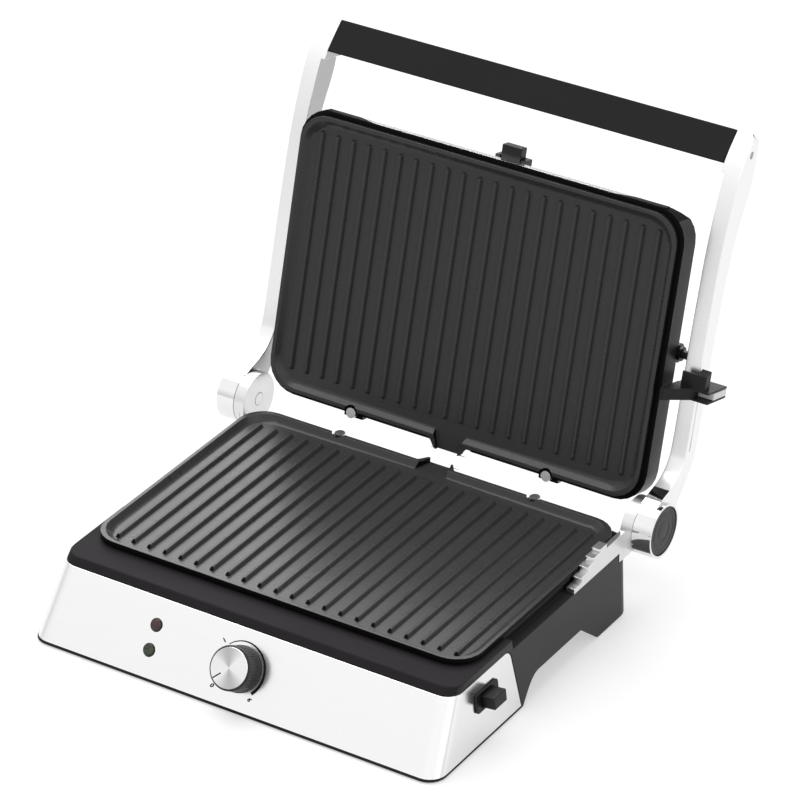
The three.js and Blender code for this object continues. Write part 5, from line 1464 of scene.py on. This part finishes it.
@dataclass
class CookingPlates(Part):
    """The two ribbed plates, with rounded ribs and a hollow curve inside their rims.

    A lean is how far up a face points, from 0 for a wall to 1 for a floor.

    Attributes:
        cove: The width of the curve between the floor and the rim's slope.
        rib_round: The width of the rounding of each rib's top.
        rib_foot: The width of the hollow at each rib's foot.
        lip: The width of every other rounded edge.
        upper_turn: The turn of the upper plate, against the lower one.
        rib_ends: How far from the front the rib ends reach that are painted dark as shade.
        rib_end_lean: How far forwards the end of a rib points at least.
        side_lean: The lean below which a face is painted dark as shade.
        flat: The lean from which a face is flat.
        slope_leans: The least and most lean of the rim's slope.
        flank_leans: The least and most lean of a rib's flanks.
    """

    cove: float = 2.5 * MM
    rib_round: float = 0.75 * MM
    rib_foot: float = 0.4 * MM
    lip: float = 0.4 * MM
    upper_turn: Matrix = LID_TURN @ Matrix.Rotation(math.pi, 4, "Z")
    rib_ends: float = 30 * MM
    rib_end_lean: float = 0.3
    side_lean: float = 0.25
    flat: float = 0.99
    slope_leans: tuple[float, float] = (0.55, 0.72)
    flank_leans: tuple[float, float] = (0.3, 0.52)

    def build(self) -> None:
        """Rounds the lower plate, and turns a copy of it into the upper one."""
        lower = copy_of("lower_plate")
        self.round_between(lower, self.slope_leans, convex=False, width=self.cove, segments=4)
        self.round_between(lower, self.flank_leans, convex=True, width=self.rib_round, segments=3)
        self.round_between(lower, self.flank_leans, convex=False, width=self.rib_foot, segments=2)
        soften(lower, self.lip, split=False)
        front = min(vertex.co.y for vertex in lower.data.vertices)

        def at_rib_end(middle: Vector, normal: Vector) -> bool:
            """Says whether a face lies on the front end of a rib."""
            slanted = self.side_lean < normal.z < self.flat and normal.y < -self.rib_end_lean
            return slanted and middle.y < front + self.rib_ends

        # Painted shade: the plates' sides and underside, and the front ends of the lower plate's ribs, take
        # a near-black copy of the coating.
        shade = self.finishes.coating_shade
        lower.data.materials.append(self.finishes.coating)
        self.dresser.second_finish(lower, shade, lambda middle, normal: normal.z < self.side_lean)
        upper = bpy.data.objects.new("upper_plate_shape", lower.data.copy())
        bpy.context.scene.collection.objects.link(upper)
        self.dresser.second_finish(lower, shade, at_rib_end)
        packed = self.middle(frame["nodes"]["upper_plate"], self.upper_turn)
        shift = packed - self.middle(lower, Matrix.Identity(4))
        place(upper, self.upper_turn @ Matrix.Translation(shift))
        for plate, node in ((lower, "lower_plate"), (upper, "upper_plate")):
            smooth(plate)
            self.dresser.stand_in(plate, node)

    def middle(self, piece: Object, turn: Matrix) -> Vector:
        """Gives the middle of a piece's box in a turned frame, measured in that frame."""
        spots = [turn.inverted() @ vertex.co for vertex in piece.data.vertices]
        return Vector([(min(axis) + max(axis)) / 2 for axis in zip(*spots)])

    def round_between(
        self, plate: Object, leans: tuple[float, float], convex: bool, width: float, segments: int
    ) -> None:
        """Rounds the edges where a flat face meets a leaning one.

        Args:
            plate: The plate, with its cooking side up.
            leans: The least and most lean of the leaning face.
            convex: True for outer edges, False for inner ones.
            width: The rounding's width.
            segments: How many strips it has.
        """

        def wanted(edge: bmesh.types.BMEdge) -> bool:
            """Says whether an edge lies between such faces."""
            low, high = sorted(face.normal.z for face in edge.link_faces)
            return high > self.flat and leans[0] < low < leans[1] and edge.is_convex == convex

        with editing(plate, Pick.EDGES):
            count = pick_edges(plate, wanted)
            if count:
                bpy.ops.mesh.bevel(offset=width, segments=segments, affect="EDGES", clamp_overlap=False)
        LOG.info("%d edges rounded by %.2f mm", count, width / MM)


@dataclass
class ReleaseButtons(Part):
    """The two push buttons that free the plates, with the collars round them.

    Attributes:
        collar_edge: The width of the collars' rounded edges.
        button_edge: The width of the buttons' rounded edges.
    """

    collar_edge: float = 0.5 * MM
    button_edge: float = 0.7 * MM

    def build(self) -> None:
        """Builds both buttons and collars."""
        black = self.finishes.button_plastic
        for node in ("lower_release_bezel", "upper_release_guide"):
            self.dresser.rounded(node, self.collar_edge, 2, black)
        for node in ("lower_release_button", "upper_release_button"):
            self.dresser.rounded(node, self.button_edge, 3, black)


@dataclass
class HingeSides(Part):
    """The brackets on the base and the dark caps on the drums.

    Attributes:
        bracket_edge: The width of the brackets' rounded edges.
        cap_seat: The cap's inner side, along X.
        cap_round: The size of the cap's bevelled rim.
        ring_radii: The middle of each shallow ring pressed into the cap.
        ring_width: The width of a ring, half of it on its two flanks.
    """

    bracket_edge: float = 0.3 * MM
    cap_radius: float = 19.15 * MM
    cap_seat: float = 190.2 * MM
    cap_thickness: float = 2.0 * MM
    cap_round: float = 0.5 * MM
    ring_radii: tuple[float, ...] = (14.5 * MM, 8.0 * MM)
    ring_width: float = 1.8 * MM
    ring_depth: float = 0.25 * MM

    def build(self) -> None:
        """Builds both sides."""
        for side in Side:
            self.dresser.rounded(f"hinge_bracket_{side.word}", self.bracket_edge)
            self.dresser.paint(f"hinge_pin_{side.word}", self.finishes.cast_metal)
            self.build_cap(side)

    def build_cap(self, side: Side) -> None:
        """Turns a cap with shallow rings.

        Args:
            side: The side that it closes.
        """
        top, edge = self.cap_thickness, self.cap_radius
        profile = [(0, 0), (edge, 0), (edge, top - self.cap_round), (edge - self.cap_round, top)]
        for radius in self.ring_radii:
            for share, depth in ((0.5, 0), (0.25, 1), (-0.25, 1), (-0.5, 0)):
                profile.append((radius + self.ring_width * share, top - self.ring_depth * depth))
        profile.append((0, top))
        cap = turned(f"hinge_cap_{side.word}_shape", profile, steps=72)
        outward = Matrix.Rotation(side.value * math.pi / 2, 4, "Y")
        seat = Matrix.Translation(HINGE + Vector((side.value * self.cap_seat, 0, 0)))
        place(cap, seat @ outward)
        smooth(cap)
        self.dresser.stand_in(cap, f"hinge_cap_{side.word}")


@dataclass
class Lid(Part):
    """The arms with the grip between them, and the unit that tilts between the arms.

    The lid's own frame has X along the hinge, Y along the lid away from the hinge, and Z
    through it towards the food. The nose is the steel back's far edge.

    Attributes:
        arm_edge: The width of the arms' rounded edges, and so on for the others.
        drum_reach: How far from the hinge's axis the bright drum goes over into the brushed arm.
        sideways: How far a face points along X where another finish starts or ends: the painted sheen on the
            frame's sides, and the painted shade in the slot and on the arms' inner sides.
        own_frame: The lid's own frame.
        slope_start: Where the nose starts to slope back, along Y and Z of the lid.
        slope_end: A further point of that slope.
        corner_squeeze: How much of its depth a pulled corner keeps, so that its sheet stays apart.
        slant_outer: Where the nose's slanted end starts, along X and Z of the lid.
        slant_inner: Where it ends.
        nose_start: How far along the lid the nose starts.
        slot_level: How far from the hinge's plane, away from the food, the height stop's slot runs.
        slot_floor: How far out along X the slot is cut.
        slot_ends: How far along the lid the slot starts and ends.
    """

    arm_edge: float = 0.8 * MM
    drum_reach: float = 30 * MM
    grip_edge: float = 0.35 * MM
    frame_edge: float = 0.4 * MM
    back_edge: float = 0.25 * MM
    sideways: float = 0.75
    own_frame: Matrix = Matrix.Translation(HINGE) @ LID_TURN
    slope_start: Vector = Vector((236.8 * MM, -15.2 * MM))
    slope_end: Vector = Vector((221.8 * MM, -36.0 * MM))
    corner_squeeze: float = 0.2
    slant_outer: Vector = Vector((148 * MM, -26.6 * MM))
    slant_inner: Vector = Vector((104 * MM, -8.6 * MM))
    nose_start: float = 224 * MM
    slot_level: float = 30.4 * MM
    slot_half_width: float = 1.0 * MM
    slot_floor: float = 189.5 * MM
    slot_ends: tuple[float, float] = (50 * MM, 110 * MM)

    def build(self) -> None:
        """Builds every piece."""
        for side in Side:
            self.build_arm(side)
            self.dresser.paint(f"tilt_pin_{side.word}", self.finishes.dark_steel)
        self.dresser.rounded("grip", self.grip_edge, 3, self.finishes.grip_plastic)
        self.build_frame()
        self.build_back()

    def facing(self, direction: Sequence[float]) -> Vector:
        """Turns a direction in the lid's own frame into a unit vector of the grill's frame."""
        return (self.own_frame.to_3x3() @ Vector(direction)).normalized()

    def build_frame(self) -> None:
        """Rounds the upper frame, with its far corners cut back to the slope of the nose."""
        rim = copy_of("upper_frame")
        start = self.own_frame @ Vector((0, *self.slope_start))
        run = self.slope_end - self.slope_start
        outward = self.facing((0, -run.y, run.x))
        with editing(rim, whole=True):
            bpy.ops.mesh.bisect(plane_co=start, plane_no=outward, use_fill=True, clear_outer=True)
        self.dresser.round_off(rim, "upper_frame", self.frame_edge, 3, self.finishes.frame_plastic)
        # Painted sheen: faces of the frame that point along X take the glossier satin plastic instead of the
        # matt frame plastic.
        self.dresser.second_finish(
            rim, self.finishes.satin_plastic, lambda middle, normal: abs(normal.x) > self.sideways
        )

    def pull_corners(self, back: Object) -> None:
        """Pulls the steel back's far corners in to the slope of the nose between them.

        Args:
            back: The back.
        """
        run = self.slope_end - self.slope_start
        with editing(back, Pick.VERTICES):
            mesh = bmesh.from_edit_mesh(back.data)
            for vertex in mesh.verts:
                spot = self.own_frame.inverted() @ vertex.co
                share = max(spot.z - self.slope_start.y, run.y) / run.y if spot.z < self.slope_start.y else 0
                limit = self.slope_start.x + run.x * share
                if spot.y > limit:
                    spot.y = limit - (self.slope_start.x - spot.y) * self.corner_squeeze
                    vertex.co = self.own_frame @ spot
            bmesh.update_edit_mesh(back.data)

    def build_back(self) -> None:
        """Rounds the steel back, whose nose goes over into the black frame on a slant at each end."""
        back = copy_of("upper_back")
        self.pull_corners(back)
        run = self.slant_outer - self.slant_inner
        slants = []
        for side in Side:
            start = self.own_frame @ Vector((side.value * self.slant_outer.x, 0, self.slant_outer.y))
            outward = self.facing((-side.value * run.y, 0, run.x))
            slants.append((start, outward))
            with editing(back, whole=True):
                bpy.ops.mesh.bisect(plane_co=start, plane_no=outward)

        def past_slant(middle: Vector, normal: Vector) -> bool:
            """Says whether a face of the nose lies past a slant."""
            on_nose = (self.own_frame.inverted() @ middle).y > self.nose_start
            return on_nose and any((middle - start).dot(outward) > 0 for start, outward in slants)

        self.dresser.round_off(back, "upper_back", self.back_edge, segments=2)
        self.dresser.second_finish(back, self.finishes.frame_plastic, past_slant)

    def in_slot(self, middle: Vector) -> bool:
        """Says whether a point lies in the slot that guides the height stop.

        Args:
            middle: The point.

        Returns:
            True where it does.
        """
        spot = self.own_frame.inverted() @ middle
        level = abs(spot.z + self.slot_level) < self.slot_half_width and spot.x > self.slot_floor
        return level and self.slot_ends[0] < spot.y < self.slot_ends[1]

    def off_drum(self, spot: Vector) -> bool:
        """Says whether a point of an arm lies clear of its drum."""
        return math.hypot(spot.y - HINGE.y, spot.z - HINGE.z) > self.drum_reach

    def build_arm(self, side: Side) -> None:
        """Rounds an arm above its drum, and gives it its finishes, with painted shade in its slot and on its
        inner side.

        Args:
            side: The arm's side.
        """
        node = f"arm_{side.word}"
        arm = copy_of(node)
        soften_where(arm, self.arm_edge, segments=3, wanted=self.off_drum)
        smooth(arm)
        self.dresser.stand_in(arm, node)
        second = self.dresser.second_finish
        second(arm, self.finishes.arm_steel, lambda middle, normal: self.off_drum(middle))
        # Painted shade: the walls of the height stop's slot in the steel arm take black plastic.
        second(
            arm,
            self.finishes.satin_plastic,
            lambda middle, normal: abs(normal.x) < self.sideways and self.in_slot(middle),
        )
        # Painted shade: the arm's inner sides take the darker, rougher satin steel.
        second(
            arm,
            self.finishes.satin_steel,
            lambda middle, normal: self.off_drum(middle) and normal.x * side.value < -self.sideways,
        )


@dataclass
class HeightStop(Part):
    """The slider on the right arm that limits how far the lid closes.

    Attributes:
        edge: The width of its rounded edges.
    """

    edge: float = 0.4 * MM

    def build(self) -> None:
        """Builds the slider and its plate."""
        self.dresser.rounded("height_slider", self.edge, 2, self.finishes.button_plastic)
        self.dresser.rounded("height_slider_plate", self.edge, 2, self.finishes.bright_insert)


def main() -> None:
    """Builds the studio and dresses the grill."""
    logging.basicConfig(level=logging.INFO, format="%(name)s: %(message)s")
    Studio().build()
    dresser = Dresser(Finishes())
    for part in (BaseShell, ControlPanel, CookingPlates, ReleaseButtons, HingeSides, Lid, HeightStop):
        part(dresser).build()


if __name__ == "__main__":
    main()
